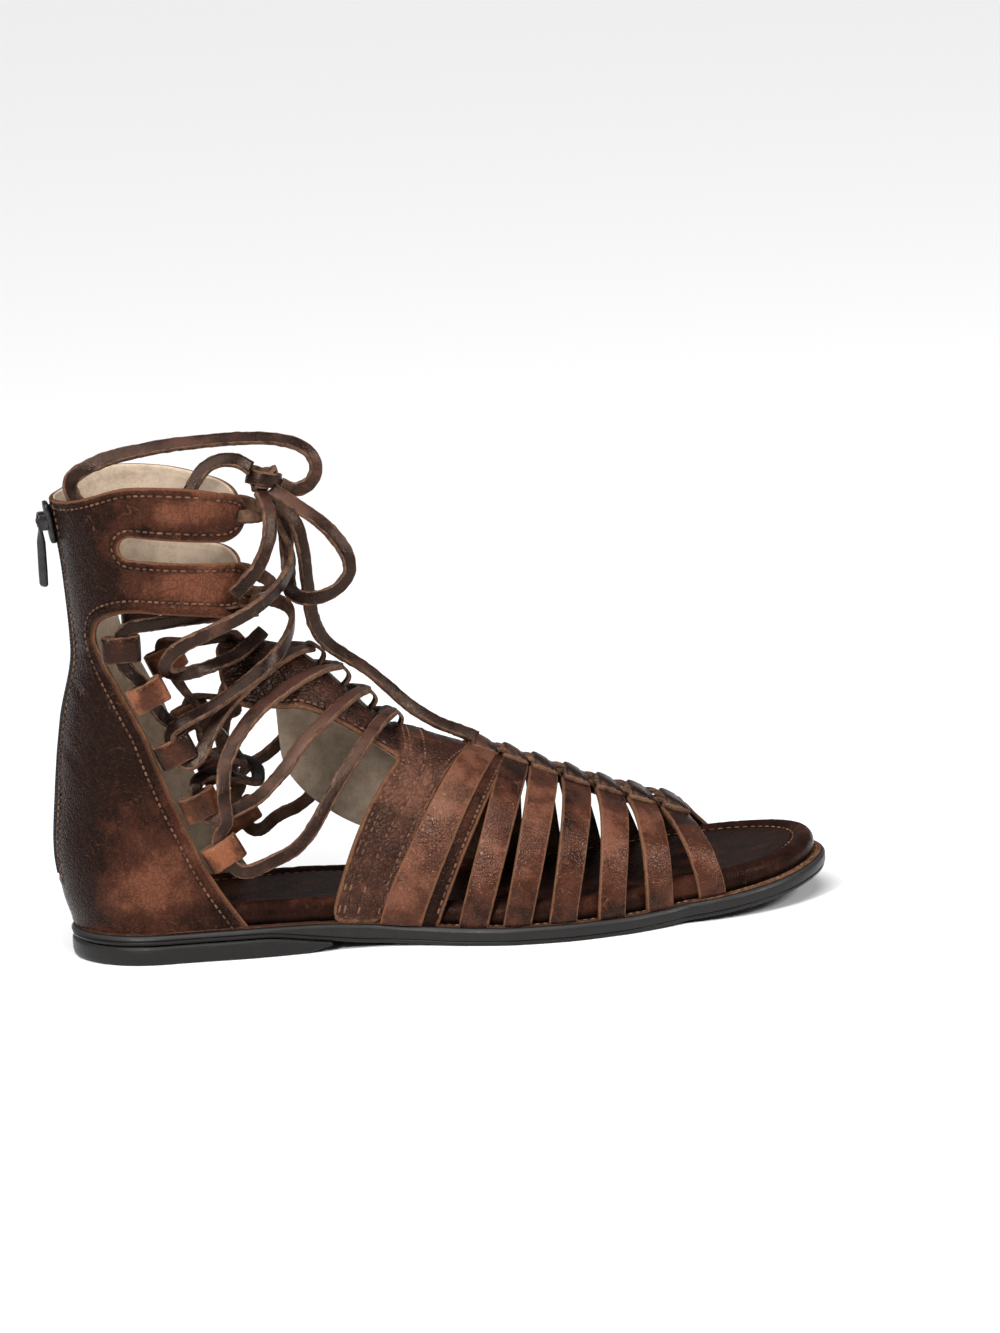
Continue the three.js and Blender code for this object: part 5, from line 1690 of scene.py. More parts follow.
@dataclass
class Quarter:
    """The heel counter and shaft with the collar's two straps, slit up the back for the zip."""

    finishes: Finishes
    wall: float = 2.2
    zip_half: float = 3.6
    zip_foot: float = 27.0
    facing: float = 1.2
    hole_turn: float = 0.94
    hole_radius: float = 2.1
    holes: tuple[float, float] = (146.0, 122.6)
    landing: float = 10.3
    back_top: float = 158.0
    zip_top: float = 153.6
    slot: tuple[float, float, float] = (24.8, 140.0, 3.8)
    # Some blobs are painted light: the dark ones down the heel's back, at x 2 to 12, are painted shade where
    # the back turns away from the light, and the light bands along the two collar straps, at z 126 and 151, are
    # painted highlights.
    blobs: tuple = tuple(Blob(*row) for row in (
        (32, 33, 17, 16, 1.0), (12, 84, 13, 34, -1.3), (6, 130, 12, 28, -1.2), (30, 74, 14, 20, -0.6),
        (46, 151, 17, 6, 1.3), (46, 126, 18, 6, 1.1), (2, 40, 9, 28, -1.3), (20, 13, 30, 5, -0.6),
        (24, 153, 8, 6, -0.3), (50, 17, 7, 8, -0.6), (12, 24, 8, 8, 0.4), (26, 108, 9, 5, 0.3),
    ))
    creases: tuple = tuple(Crease(*row) for row in (
        (-26, 96, 9, 12, 0.32, 1.7), (-22, 104, 12, 4, 0.36, 1.9), (-31, 88, 8, 24, 0.24, 1.5),
        (-18, 112, 9, -6, 0.26, 1.6), (-12, 92, 7, 14, 0.22, 1.4), (-36, 60, 10, 62, 0.2, 1.6),
        (-14, 70, 9, 30, 0.18, 1.8), (-46, 150, 8, 84, 0.16, 1.3), (-40, 124, 7, 78, 0.16, 1.3),
        (24, 98, 11, -10, 0.34, 1.8), (19, 107, 12, 3, 0.32, 1.9), (30, 86, 8, -22, 0.24, 1.5),
        (15, 90, 8, -14, 0.22, 1.5), (38, 62, 10, -60, 0.2, 1.6), (48, 149, 8, -84, 0.16, 1.3),
    ))

    def outline(self, side: int) -> dict[str, Array]:
        """Draws one half of the quarter, as named lines of X and Z.

        Args:
            side: -1 for the outer half, +1 for the inner, whose front edge lies further forward.

        Returns:
            The lines, in order from the zip over the collar and down to the sole.
        """
        ahead = np.array((0.0 if side < 0 else LAST.advance, 0.0))
        x = np.linspace(LAST.back(self.back_top) + 0.4, 57, 60)
        top = np.stack([x, LAST.collar(x)], 1)
        end = arcs((57, 155.2), ((65.9, 153.4), (65.9, 147.5)), ((65.6, 139.6), (57, 139)))
        turn = np.linspace(np.pi / 2, 3 * np.pi / 2, 14)
        slot_x, slot_z, radius = self.slot
        rear = np.stack([slot_x + radius * np.cos(turn), slot_z + radius * np.sin(turn)], 1)
        lower_end = arcs((57, 132.1), ((65.8, 131.6), (65.9, 124.6)), ((65.6, 114.3), (56, 114.4)))
        bends = [((20, 119.2), (15, 116.6)), ((8.6, 113), (13.6, 102.6)), ((19.7, 90.3), (25.8, 78)),
                 ((33, 56), (42.4, 34)), ((47, 24), (56.4, self.landing))]
        opening = arcs((56, 114.4), ((44, 116.8), ahead + (27, 118.6)), *(ahead + bend for bend in bends))
        return {"top": top, "end": end, "slot": np.vstack([end[-1:], rear, lower_end[:1]]),
                "lower_end": lower_end, "opening": opening}

    def unrolled(self, side: int, line: Array) -> Array:
        """Turns X and Z on one side into millimetres round from the zip, and Z."""
        turn = LAST.shaft_turn(line[:, 0], line[:, 1])
        return np.stack([side * turn * LAST.shaft_length, line[:, 1]], 1)

    def half_path(self, side: int) -> tuple[Array, dict[str, Array]]:
        """Returns one half's unrolled edge from the zip to the sole, and its named parts."""
        lines = {name: resample(self.unrolled(side, resample(line, 0.8)), 1.0)
                 for name, line in self.outline(side).items()}
        slit = self.slit(self.back_top)
        lines["top"] = lines["top"][np.abs(lines["top"][:, 0]) > slit + 0.5]
        return np.vstack([lines[name] for name in ("top", "end", "slot", "lower_end", "opening")]), lines

    def slit(self, z: Array) -> Array:
        """Returns how far round from the middle the zip's slit reaches at a height."""
        angle = np.arcsin(self.zip_half / LAST.half(z))
        return angle / (np.pi / 2) * LAST.rear_share * LAST.shaft_length

    def build(self) -> list[bpy.types.Object]:
        """Builds the leather and its stitches."""
        outer, outer_lines = self.half_path(-1)
        inner, inner_lines = self.half_path(1)
        rise = np.linspace(self.zip_foot, self.zip_top, 90)
        slit = np.stack([self.slit(rise), rise], 1)
        mirrored = slit * (-1, 1)
        along = np.linspace(outer[-1, 0], inner[-1, 0], 140)[1:-1]
        foot = np.stack([along, np.full_like(along, self.landing)], 1)
        loops = [np.vstack([outer, foot, inner[::-1], slit[::-1], mirrored])]
        for side in (-1, 1):
            for z in self.holes:
                angle = np.linspace(0, 2 * np.pi, 18, endpoint=False)[::-1]
                middle = side * self.hole_turn * LAST.shaft_length
                spoke = self.hole_radius * np.stack([np.cos(angle), np.sin(angle)], 1)
                loops.append(spoke + (middle, z))
        seams = self.seams(outer_lines, inner_lines, slit, mirrored)
        paths = [seam.path for seam in seams]
        fronts = [lines["opening"][26:] for lines in (outer_lines, inner_lines)]
        rings = (0.2, 0.5, 1.0, self.facing - 0.15, self.facing + 0.3)
        flat, faces, rim = cut_sheet(loops, MESH_PITCH, paths, rings)
        points, normals = LAST.shaft_sheet(flat[:, 0], flat[:, 1])
        relief = sum(seam.groove(flat) for seam in seams)
        front = np.min([distance_to(flat, line) for line in fronts], axis=0)
        step = 1 - smoothstep(front, self.facing - 0.2, self.facing + 0.35)
        relief = relief - 0.62 * step + 0.3 * bump(rim - 1.6, 0.9) * (1 - step)
        relief = relief + folds(flat, self.creases) + self.unevenness(points)
        # Painted shade: the leather is darker along each stitch row, in its groove.
        rows = -0.45 * np.max([bump(distance_to(flat, seam.path), 0.8) for seam in seams], axis=0)
        sheet = Sheet(points, normals, faces, rim, self.wall, relief=relief, tone=self.tone(points) + rows,
                      worn=0.45 * step * (0.6 + 0.4 * (front < self.facing)), edge_radius=0.6)
        skins = [self.finishes.chestnut, self.finishes.lining, self.finishes.cut]
        leather = sheet.body().piece("quarter_leather", skins, "leather", ["quarter"])
        rows = Body.joined([seam.stitches(LAST.shaft_sheet, 0.12) for seam in seams])
        return [leather, rows.piece("quarter_stitching", [self.finishes.thread], "leather")]

    def seams(self, outer: dict, inner: dict, slit: Array, mirrored: Array) -> list[Seam]:
        """Draws the stitch rows: along the collar, round the slots, down the fronts and by the zip."""
        seams = []
        for side, lines in ((-1, outer), (1, inner)):
            left = -side
            edge = resample(np.vstack([lines["top"], lines["end"][:12]]), 1.0)
            seams.append(Seam(moved_left(edge, left * 2.6)))
            slot = resample(np.vstack([lines["end"][-8:], lines["slot"], lines["lower_end"][:8]]), 1.0)
            seams.append(Seam(moved_left(slot, left * 2.4)))
            front = resample(np.vstack([lines["lower_end"][-6:], lines["opening"]]), 1.0)
            seams.append(Seam(moved_left(front, left * 4.1)))
        seams.append(Seam(slit + (2.1, 0)))
        seams.append(Seam(mirrored - (2.1, 0)))
        return seams

    def unevenness(self, points: Array) -> Array:
        """Returns the slight waves of a worn shaft."""
        x, y, z = points.T
        return 0.16 * np.sin(x / 7.3 + 1.1) * np.sin(z / 9.1 + y / 14) + 0.1 * np.sin(z / 4.7 + x / 6.1)

    def tone(self, points: Array) -> Array:
        """Returns how light the leather is painted at each point, partly its own patches and partly painted
        shade and highlights.
        """
        x, _, z = points.T
        total = np.zeros(len(points))
        for blob in self.blobs:
            total += blob.amount * np.exp(-((x - blob.x) / blob.wide) ** 2 - ((z - blob.z) / blob.tall) ** 2)
        return total


# ---------------------------------------------------------------- vamp

def rounded(loop: Array, reach: int = 2, times: int = 2) -> Array:
    """Rounds a closed outline's corners by averaging neighbours a millimetre apart."""
    line = resample(np.vstack([loop, loop[:1]]), 1.0)[:-1]
    for _ in range(times):
        line = np.mean([np.roll(line, k, 0) for k in range(-reach, reach + 1)], axis=0)
    return line


@dataclass
class Vamp:
    """The band over the instep and the tongue behind it, with a stitched strip along the band's back."""

    finishes: Finishes
    wall: float = 2.0
    strap_width: float = 9.4
    meet: tuple[float, float] = (0.335, 0.838)
    tongue_end: tuple[float, float] = (111.2, 108.0)
    link: tuple[float, float] = (6.4, 4.7)
    back: Callable = field(default=through(BAND, "back"))
    front: Callable = field(default=through(BAND, "front"))
    lateral: Callable = field(default=through(TONGUE, "lateral"))
    medial: Callable = field(default=through(TONGUE, "medial"))
    creases: tuple = tuple(Crease(*row) for row in (
        (101, -52, 7, 70, 0.3, 1.3), (118, -34, 8, 100, 0.34, 1.5), (121, -24, 6, 62, 0.24, 1.2),
        (112, -44, 7, 118, 0.26, 1.3), (124, -14, 9, 84, 0.32, 1.5), (128, -4, 7, 106, 0.26, 1.3),
        (103, -60, 6, 78, 0.24, 1.2), (120, 22, 9, 96, 0.3, 1.5), (118, 40, 8, 70, 0.26, 1.4),
        (96, -14, 9, 20, 0.34, 1.6), (84, -10, 10, -14, 0.36, 1.7), (88, 14, 9, 30, 0.3, 1.6),
        (72, 2, 8, 12, 0.3, 1.6), (100, 26, 10, -20, 0.3, 1.6), (80, 30, 9, 40, 0.28, 1.5),
        (66, -16, 8, 50, 0.3, 1.4), (104, 4, 8, 90, 0.24, 1.4),
    ))

    def build(self) -> list[bpy.types.Object]:
        """Builds the leather, its stitches and the straps."""
        length = LAST.turn_length
        turn = np.linspace(-1, 1, 150)
        start = TONGUE[0].at
        x, inner_x = (np.linspace(start, end, 60) for end in self.tongue_end)
        behind_in, behind_out = turn[turn > self.meet[1]][::-1], turn[turn < -self.meet[0]][::-1]
        outline = np.vstack([
            np.stack([self.front(turn), turn * length], 1),
            np.stack([self.back(behind_in), behind_in * length], 1),
            np.stack([inner_x, self.medial(inner_x) * length], 1)[::-1],
            np.stack([x, -self.lateral(x) * length], 1),
            np.stack([self.back(behind_out), behind_out * length], 1),
        ])
        rows = np.linspace(-0.985, 0.985, 160)
        lines = [np.stack([edge(rows) + shift, rows * length], 1)
                 for edge, shift in ((self.back, 1.7), (self.back, 3.5), (self.back, 8.2), (self.front, -1.9))]
        tongue_x = np.linspace(start + 3, self.tongue_end[1], 60)
        lines.append(np.stack([tongue_x, 2.3 - self.lateral(tongue_x) * length], 1))
        lines.append(np.stack([tongue_x, self.medial(tongue_x) * length - 3.2], 1)[8:])
        seams = [Seam(resample(line, 1.0)) for line in lines]
        paths = [seam.path for seam in seams]
        flat, faces, rim = cut_sheet([rounded(outline)], MESH_PITCH, paths, (0.2, 0.5, 1.0, 1.7))
        points, normals = LAST.foot_sheet(flat[:, 0], flat[:, 1])
        share = np.abs(flat[:, 1]) / length
        behind = flat[:, 0] - self.back(flat[:, 1] / length)
        band = smoothstep(behind, -0.35, 0.35)
        relief = sum(seam.groove(flat) for seam in seams) + 0.55 * band * (1 - smoothstep(behind, 9.5, 10.1))
        relief = relief - 0.3 * (1 - band) + folds(flat, self.creases)
        relief = relief + 0.14 * np.sin(flat[:, 0] / 3.1 + flat[:, 1] / 9) * np.sin(flat[:, 1] / 5.3)
        lateral_edge = flat[:, 1] + self.lateral(flat[:, 0]) * length
        tan = (1 - band) * (1 - smoothstep(lateral_edge, 0.6, 1.8)) * (flat[:, 1] < 0)
        tan = np.maximum(tan, 0.55 * bump(behind - 10.0, 0.4) * (share < 0.97))
        tone = 0.35 * bump(flat[:, 1] + 34, 16) * band - 0.35 * (1 - band)
        tone = tone + 0.3 * bump(flat[:, 0] - 116, 5) * band
        sheet = Sheet(points, normals, faces, rim, self.wall, relief=relief, tone=tone, worn=0.75 * tan)
        skins = [self.finishes.dark_grain, self.finishes.lining, self.finishes.cut]
        leather = sheet.body().piece("vamp_leather", skins, "leather", ["vamp"])
        lifts = (0.45, 0.45, 0.45, 0.0, 0.0, 0.0)
        rows = Body.joined([seam.stitches(LAST.foot_sheet, lift) for seam, lift in zip(seams, lifts)])
        return [leather, rows.piece("vamp_stitching", [self.finishes.thread], "leather"), *self.straps()]

    def strap(self, row: StrapRow, number: int, width: Callable, shift: float, lift: float, wall: float,
              tone: float) -> Body:
        """Builds one strap from landing to landing.

        Args:
            row: The strap's line.
            number: Picks its waves and its tone.
            width: Its width for each unsigned turn.
            shift: How far ahead of the strap's line it lies.
            lift: How high its face lies over the foot.
            wall: Its thickness.
            tone: How light it is.

        Returns:
            The strap as a closed body.
        """
        u, v, faces, rim = strip_sheet(row.width, 110)
        turn = 2 * v - 1
        x = row.line(turn) + u * (width(np.abs(turn)) / row.width) + shift
        points, normals = LAST.foot_sheet(x, turn * LAST.turn_length)
        wave = 0.22 * np.sin(turn * 7 + number * 1.7) + 0.1 * np.sin(turn * 19 + number)
        crown = 0.3 * (1 - (2 * u / row.width) ** 2)
        light = tone + 0.5 * np.sin(turn * 5.1 + number * 2.3) * 0.7 + 0.35 * bump(np.abs(turn) - 0.42, 0.16)
        light = light - 0.5 * bump(np.abs(turn) - 1, 0.12) - 0.6 * bump(turn, 0.14)
        sheet = Sheet(points, normals, faces, rim, wall, lift=lift, relief=crown + wave - 0.2, tone=light,
                      edge_radius=0.45)
        return sheet.body()

    def flared(self, turn: Array) -> Array:
        """Returns the lighter strap's width at an unsigned turn."""
        return self.strap_width + 4.2 * turn**1.4

    def backed(self, turn: Array) -> Array:
        """Returns the width of that strap's backing."""
        return self.flared(turn) + 1.5 + 2.5 * turn

    def straps(self) -> list[bpy.types.Object]:
        """Builds the straps, the lighter one's backing, the links that hold them along the ridge, and a dark
        strip under the straps that is painted shade.
        """
        skins = [self.finishes.strap, self.finishes.flesh, self.finishes.cut]
        tones = (0.0, 0.35, 0.15, -0.1, 0.2, -0.15, 0.6)
        parts = [self.strap(row, n, lambda turn: np.full_like(turn, row.width), 0, LAST.gap, self.wall,
                            tones[n])
                 for n, row in enumerate(STRAPS[:-1])]
        wide = STRAPS[-1]
        parts.append(self.strap(wide, 6, self.flared, -1.0, 1.4, 1.6, tones[6]))
        backing = self.strap(wide, 9, self.backed, 2.2, 0.25, 1.5, -0.2)
        turn = np.linspace(-0.97, 0.97, 120)
        front = wide.line(turn) + self.backed(np.abs(turn)) / 2 + 0.9
        seam = Seam(np.stack([front, turn * LAST.turn_length], 1))
        stitches = seam.stitches(LAST.foot_sheet, 0.5)
        return [
            Body.joined(parts).piece("vamp_straps", skins, "leather", ["vamp"]),
            backing.piece("strap_backing", [self.finishes.chestnut, *skins[1:]], "leather"),
            stitches.piece("strap_stitching", [self.finishes.thread], "leather"),
            # The dark strip under the straps is painted shade for the sandal's inside, not a real lining.
            self.shade_strip().piece("ridge_shade_strip", self.finishes.lace_skins, "leather"),
            self.links().piece("ridge_links", self.finishes.lace_skins, "leather", ["vamp"]),
        ]

    def links(self) -> Body:
        """Builds the knuckle over each strap's crest and the thongs that run between them."""
        parts = []
        columns, rows = 25, 17
        wide, deep = self.link
        u, v = np.meshgrid(np.linspace(-1, 1, columns), np.linspace(-1, 1, rows))
        u, v, faces = u.ravel(), v.ravel(), grid_faces(columns, rows)
        for number, row in enumerate(STRAPS):
            s = u * (wide + 0.5 * math.sin(number * 2.3) - 1.0 * v**2)
            half = deep - 0.8 * np.abs(u) ** 3
            x = row.line(s / LAST.turn_length) + v * half + 0.3 * u * math.sin(number)
            points, normals = LAST.foot_sheet(x, s)
            rise = (2.2 - 1.15 * (v + 1)) * (1 - u**4) + 0.7 * (1 - v**4)
            rise = rise - 0.3 * bump(v - 0.35 - 0.2 * u**2, 0.12)
            rim = np.minimum((1 - np.abs(u)) * wide, (1 - np.abs(v)) * deep)
            sheet = Sheet(points, normals, faces, rim, 2.2, lift=1.6, relief=rise, edge_radius=0.7, bulge=0.3,
                          tone=0.1 + 0.6 * bump(v + 0.3, 0.5) * (1 - u**2))
            parts.append(sheet.body())
        thong = Thong(width=3.0, thickness=1.7, corner=0.4)
        for number, (ahead, behind) in enumerate(zip(STRAPS, STRAPS[1:])):
            for s in (-3.2, 3.2):
                x = np.linspace(behind.ridge + 2.6, ahead.ridge - 2.6, 14)
                lean = s + 1.2 * math.sin(number * 1.9 + s) * np.linspace(-1, 1, 14)
                point, normal = LAST.foot_sheet(x, lean)
                lift = 1.2 + 0.9 * np.sin(np.linspace(0, np.pi, 14))
                parts.append(thong.body(point + normal * lift[:, None], normal, 80 + number * 3 + int(s)))
        return Body.joined(parts)

    def shade_strip(self) -> Body:
        """Lays a thin dark strip under the straps on the inner side of the ridge: painted shade, standing for
        the dark inside of the sandal seen between the straps.
        """
        u, v, faces, rim = strip_sheet(24.0, 70)
        x = 139 + 64 * v
        points, normals = LAST.foot_sheet(x, u * (1 - 0.35 * v) + 7.5)
        return Sheet(points, normals, faces, rim, 0.9, lift=-1.9, edge_radius=0.3, tone=-0.8).body()


# ---------------------------------------------------------------- laces and their loops

LACE_REST = 2.25
LACE_BARS = [
    [(111, 5, 71.2), (107, -2, 70.6), (100.5, -9, 67), (92.5, -15.5, 60), (86, -21, 50.4), (79.2, -26, 40.6),
     (72, -30, 35), (63, -32.5, 32.4)],
    [(102.5, 5, 79.4), (97.5, -2, 79.2), (90, -9, 76.4), (81.2, -16, 70.6), (72.5, -21, 62), (65.2, -26, 56),
     (60, -29, 52.6), (55, -31, 52)],
    [(94, 5, 87.8), (88, -2, 88.4), (78.7, -11, 87.4), (66.6, -18, 82.9), (56.5, -24.5, 74.5), (51, -31, 65.3),
     (50, -35.6, 56), (50.5, -34, 49.4), (51.4, -31, 46.6)],
    [(86, 5, 95.4), (80.9, -2, 96.6), (70.5, -11, 94.4), (59.4, -19, 88.2), (50.6, -25, 80.8),
     (46, -28.5, 74.5)],
]
UPPER_RUNS = [
    [(66, 18, 113), (73, 10, 113.5), (79, 2, 112), (79.4, -6, 108.5), (75, -14, 101.5), (67, -21, 95.6),
     (57.4, -25, 90.2), (46.4, -28.6, 84.5), (38, -33, 82.4)],
    [(78.8, -8, 135), (80.5, -12, 130.4), (77.9, -16, 126.9), (73.5, -23, 123), (64.3, -29.6, 117.4),
     (49.5, -33.5, 111.8), (39, -35.4, 108), (33, -34.4, 103), (34, -31, 98.4), (42, -26, 97.2),
     (53, -19, 98.4)],
]
COLLAR_RUNS = [
    [(65.4, -17.6, 146), (69.4, -13.2, 145.4), (72, -6, 144.4), (72, 6, 144.4), (69.4, 13.2, 145.4),
     (65.4, 17.6, 146)],
    [(67, -19.6, 122), (71, -14, 121), (73.4, -6, 120.4), (73.4, 6, 120.4), (71, 14, 121), (67, 19.6, 122)],
]


@dataclass(frozen=True)
class LaceLoop:
    """A tab folded into a loop on the quarter's front edge, its tunnel along the edge."""

    row: LoopRow
    side: int
    reach: float = 7.6
    long: float = 13.0
    deep: float = 5.2
    leather: float = 1.4
    width: float = 9.0

    def axes(self) -> tuple[Array, Array, Array]:
        """Returns the loop's middle, the direction of its length and that of its tunnel."""
        turn = math.radians(self.row.turn)
        height = self.row.height
        half = float(LAST.half(height)) - 1.1
        middle = self.row.edge + (0 if self.side < 0 else LAST.advance) + self.reach * math.cos(turn)
        rear = (middle - float(LAST.centre(height))) / float(LAST.centre(height) - LAST.back(height))
        inwards = half * (1 - math.sqrt(1 - min(0.9, rear * rear))) if self.row.edge < 20 else 0
        place = np.array([middle, self.side * (half - inwards * 0.6), height + self.reach * math.sin(turn)])
        long = np.array([math.cos(turn), 0, math.sin(turn)])
        return place, long, np.array([-math.sin(turn), 0, math.cos(turn)])

    def mouth(self, share: float) -> Array:
        """Returns a point on the tunnel's axis, -1 being its lower mouth and 1 its upper."""
        place, _, tunnel = self.axes()
        return place + tunnel * share * self.width / 2

    def entry(self, way: int) -> list[tuple[float, ...]]:
        """Leads a lace to the tunnel's middle through its lower mouth (-1) or its upper (1)."""
        return [tuple(self.mouth(way * share)) for share in (1.45, 0.9, 0)]

    def body(self, seed: int) -> Body:
        """Folds the loop."""
        place, long, tunnel = self.axes()
        out = np.array([0.0, float(self.side), 0.0])
        radius = (self.deep - self.leather) / 2
        straight = self.long / 2 - self.deep / 2
        turn = np.linspace(-np.pi / 2, np.pi / 2, 11)
        run = np.linspace(-straight, straight, 10)[1:-1]
        front = np.stack([straight + radius * np.cos(turn), radius * np.sin(turn)], 1)
        top = np.stack([run[::-1], np.full(8, radius) + 0.25 * np.cos(run / straight * 1.5)], 1)
        ring = np.vstack([front, top, -front, np.stack([run, np.full(8, -radius)], 1)])
        step = np.roll(ring, -1, 0) - np.roll(ring, 1, 0)
        normal = unit(np.stack([step[:, 1], -step[:, 0]], 1))
        line = place + ring[:, :1] * long + ring[:, 1:] * out
        up = normal[:, :1] * long + normal[:, 1:] * out
        half, thick, corner = self.width / 2, self.leather / 2, 0.35
        section = [(-half + corner, thick), (-half / 2, thick + 0.05), (0, thick + 0.08),
                   (half / 2, thick + 0.05), (half - corner, thick), (half, thick - corner),
                   (half, corner - thick), (half - corner, -thick), (0, -thick), (corner - half, -thick),
                   (-half, corner - thick), (-half, thick - corner)]
        section = np.array(section)
        waist = 1 - 0.05 * bump(ring[:, 0], 4) + 0.015 * np.sin(np.arange(len(ring)) * 1.3 + seed)
        rings = (line[:, None, :] + section[None, :, 1, None] * up[:, None, :]
                 + (section[None, :, 0] * waist[:, None])[..., None] * tunnel)
        kinds = [Layer.FACE] * 4 + [Layer.CUT] * 3 + [Layer.LINING] * 2 + [Layer.CUT] * 3
        body = ring_tube(rings, closed=True, layers=kinds)
        body.rim = np.tile(half - np.abs(section[:, 0]), len(rings))
        body.tone = np.repeat(0.35 * np.sin(ring[:, 0] * 0.5 + seed) + self.row.tone, len(section))
        return body


@dataclass
class Lacing:
    """The lace where loops, keepers and holes hold it, with the loops and keepers."""

    finishes: Finishes
    thong: Thong = Thong()

    def build(self) -> list[bpy.types.Object]:
        """Builds the loops, the keepers and the held laces."""
        skins = [self.finishes.loop, self.finishes.flesh, self.finishes.cut]
        pieces = []
        for number, row in enumerate(LACE_LOOPS, 1):
            for side, label in ((-1, "outer"), (1, "inner")):
                body = LaceLoop(row, side).body(number * 3 + side)
                node = f"lace_loop_{label}_{number}"
                pieces.append(body.piece(f"loop_{label}_{number}", skins, "loop_leather", [node]))
        for number, at in enumerate(KEEPERS, 1):
            skins = self.finishes.lace_skins
            pieces.append(self.keeper(at).piece(f"keeper_{number}", skins, "leather",
                                                [f"lace_keeper_{number}"]))
        for name, node, route in self.routes():
            line = self.rested(spline(route))
            face = carried(line, self.outward(line), 0.12)
            body = self.thong.body(line, face, len(name) + len(route), 0.06)
            # The laces with no frame node run mostly inside the opening and behind the tongue; their tone is
            # lowered as painted shade.
            body.tone = body.tone + (0.5 if name.startswith("held_bar") else 0.0 if node else -0.8)
            pieces.append(body.piece(name, skins, "lace_leather", [node] if node else []))
        return pieces

    def routes(self) -> list[tuple[str, str, list]]:
        """Returns every held lace's name, its frame node and its route into the loops and holes."""
        out = {n: LaceLoop(row, -1) for n, row in enumerate(LACE_LOOPS, 1)}
        inn = {n: LaceLoop(row, 1) for n, row in enumerate(LACE_LOOPS, 1)}

        tails = [
            ([(57, -33.2, 29.8), *out[5].entry(-1)], [(71, 37.6, 29.6), *inn[5].entry(-1)]),
            ([(50.4, -31.2, 49.2), *out[4].entry(-1)], [(63.6, 36, 48.6), *inn[4].entry(-1)]),
            ([(50.2, -29.4, 44.8), *out[5].entry(1)], [(62.4, 33.4, 44.2), *inn[5].entry(1)]),
            ([(43.2, -30, 69), *out[3].entry(-1)], [(56.4, 34, 67.6), *inn[3].entry(-1)]),
        ]
        routes = []
        for number, (half, (outer_tail, inner_tail)) in enumerate(zip(LACE_BARS, tails), 1):
            shares = [(i + 1) / (len(half) - 1) for i in range(len(half) - 1)]
            inner = [(x + LAST.advance * s, 2 * LAST.ridge_y - y, z) for s, (x, y, z) in zip(shares, half[1:])]
            route = inner_tail[::-1] + inner[::-1] + half + outer_tail
            routes.append((f"held_bar_{number}", f"lace_bar_{number}", route))
        first = [*inn[1].entry(1)[::-1], (38, 27.4, 115.4), (47, 25.4, 116), (58, 22, 115), *UPPER_RUNS[0]]
        routes.append(("held_run_1", "lace_run_1", first + [(34.8, -32.6, 79.6), *out[3].entry(1)]))
        second = [(73.6, -5.4, 150), (76, -6, 142)] + UPPER_RUNS[1] + [(62, -8, 99.6), (70, 4, 103)]
        routes.append(("held_run_2", "lace_run_2", second))
        for number, (route, height) in enumerate(zip(COLLAR_RUNS, Quarter.holes), 1):
            ends = []
            for side in (-1, 1):
                middle = side * Quarter.hole_turn * LAST.shaft_length
                place, normal = LAST.shaft_sheet(np.array([middle]), np.array([height]))
                ends.append([tuple(place[0] + normal[0] * d) for d in (1.9, -0.2, -4.5)])
            routes.append((f"held_cross_{number}", f"lace_cross_{number}", ends[0][::-1] + route + ends[1]))
        edge = [(66, -24.4, 116.4), (55, -25, 115.6), (42, -26.6, 115.4), (30, -27.4, 114.6), *out[1].entry(1)]
        shares = ((1, -0.9), (1, -1.4), (2, 1.3), (2, 0.9), (2, -0.9), (2, -1.4))
        down = [tuple(out[n].mouth(share)) for n, share in shares]
        across = [(36, -22, 80), (48, -8, 78), (60, 10, 76), (58, 24, 78), *inn[3].entry(1)]
        routes.append(("lace_by_outer_loops", "", edge + down + across))
        back = [(44, 24, 98), (56, 12, 100), (62, 0, 102)]
        routes.append(("lace_by_inner_loops", "", inn[2].entry(1)[::-1] + back))
        low = [(46, -22, 62), (56, -10, 58), (66, 8, 52), (66, 22, 56)]
        routes.append(("lace_inside_low", "", out[4].entry(1)[::-1] + low + inn[4].entry(1)))
        middle = [(46, 22, 80), (56, 12, 68), (60, 0, 60), (56, -12, 64), (46, -22, 70), (44, -26, 78)]
        routes.append(("lace_inside_middle", "", inn[2].entry(-1)[::-1] + middle))
        return routes

    def rested(self, line: Array) -> Array:
        """Moves a lace out of the tongue's face where it would sink in."""
        x, y = line[:, 0], line[:, 1]
        side = np.where(y < LAST.ridge_y, -1, 1)
        reach = np.where(side < 0, OUTER_REACH(x), INNER_REACH(x)) - LAST.ridge_y
        share = np.clip((y - LAST.ridge_y) / reach, 0, 0.97)
        turn = side * np.arcsin(share ** (LAST.power(x) / 2)) * 2 / np.pi
        edge = np.where(side < 0, through(TONGUE, "lateral")(x), through(TONGUE, "medial")(x))
        points, normals = LAST.foot_sheet(x, turn * LAST.turn_length)
        depth = ((line - points) * normals).sum(1)
        near = (1 - smoothstep(np.abs(turn) - edge, 0.06, 0.18)) * smoothstep(x, 48, 56)
        near = near * (depth > -12)
        push = smoothed(np.maximum(0, LACE_REST - depth) * near, 10)
        moved = line + normals * push[:, None]
        eased = np.stack([smoothed(column, 5) for column in moved.T], 1)
        eased[0], eased[-1] = moved[0], moved[-1]
        return eased

    def outward(self, line: Array) -> Array:
        """Returns the direction out from the foot, and from the leg higher up."""
        leg = smoothstep(line[:, 2], 92, 112)[:, None]
        zero = np.zeros(len(line))
        foot = unit(np.stack([zero, line[:, 1] - LAST.ridge_y, line[:, 2] - 40], 1))
        shin = unit(np.stack([line[:, 0] - 36, line[:, 1], zero], 1))
        return unit(foot * (1 - leg) + shin * leg)

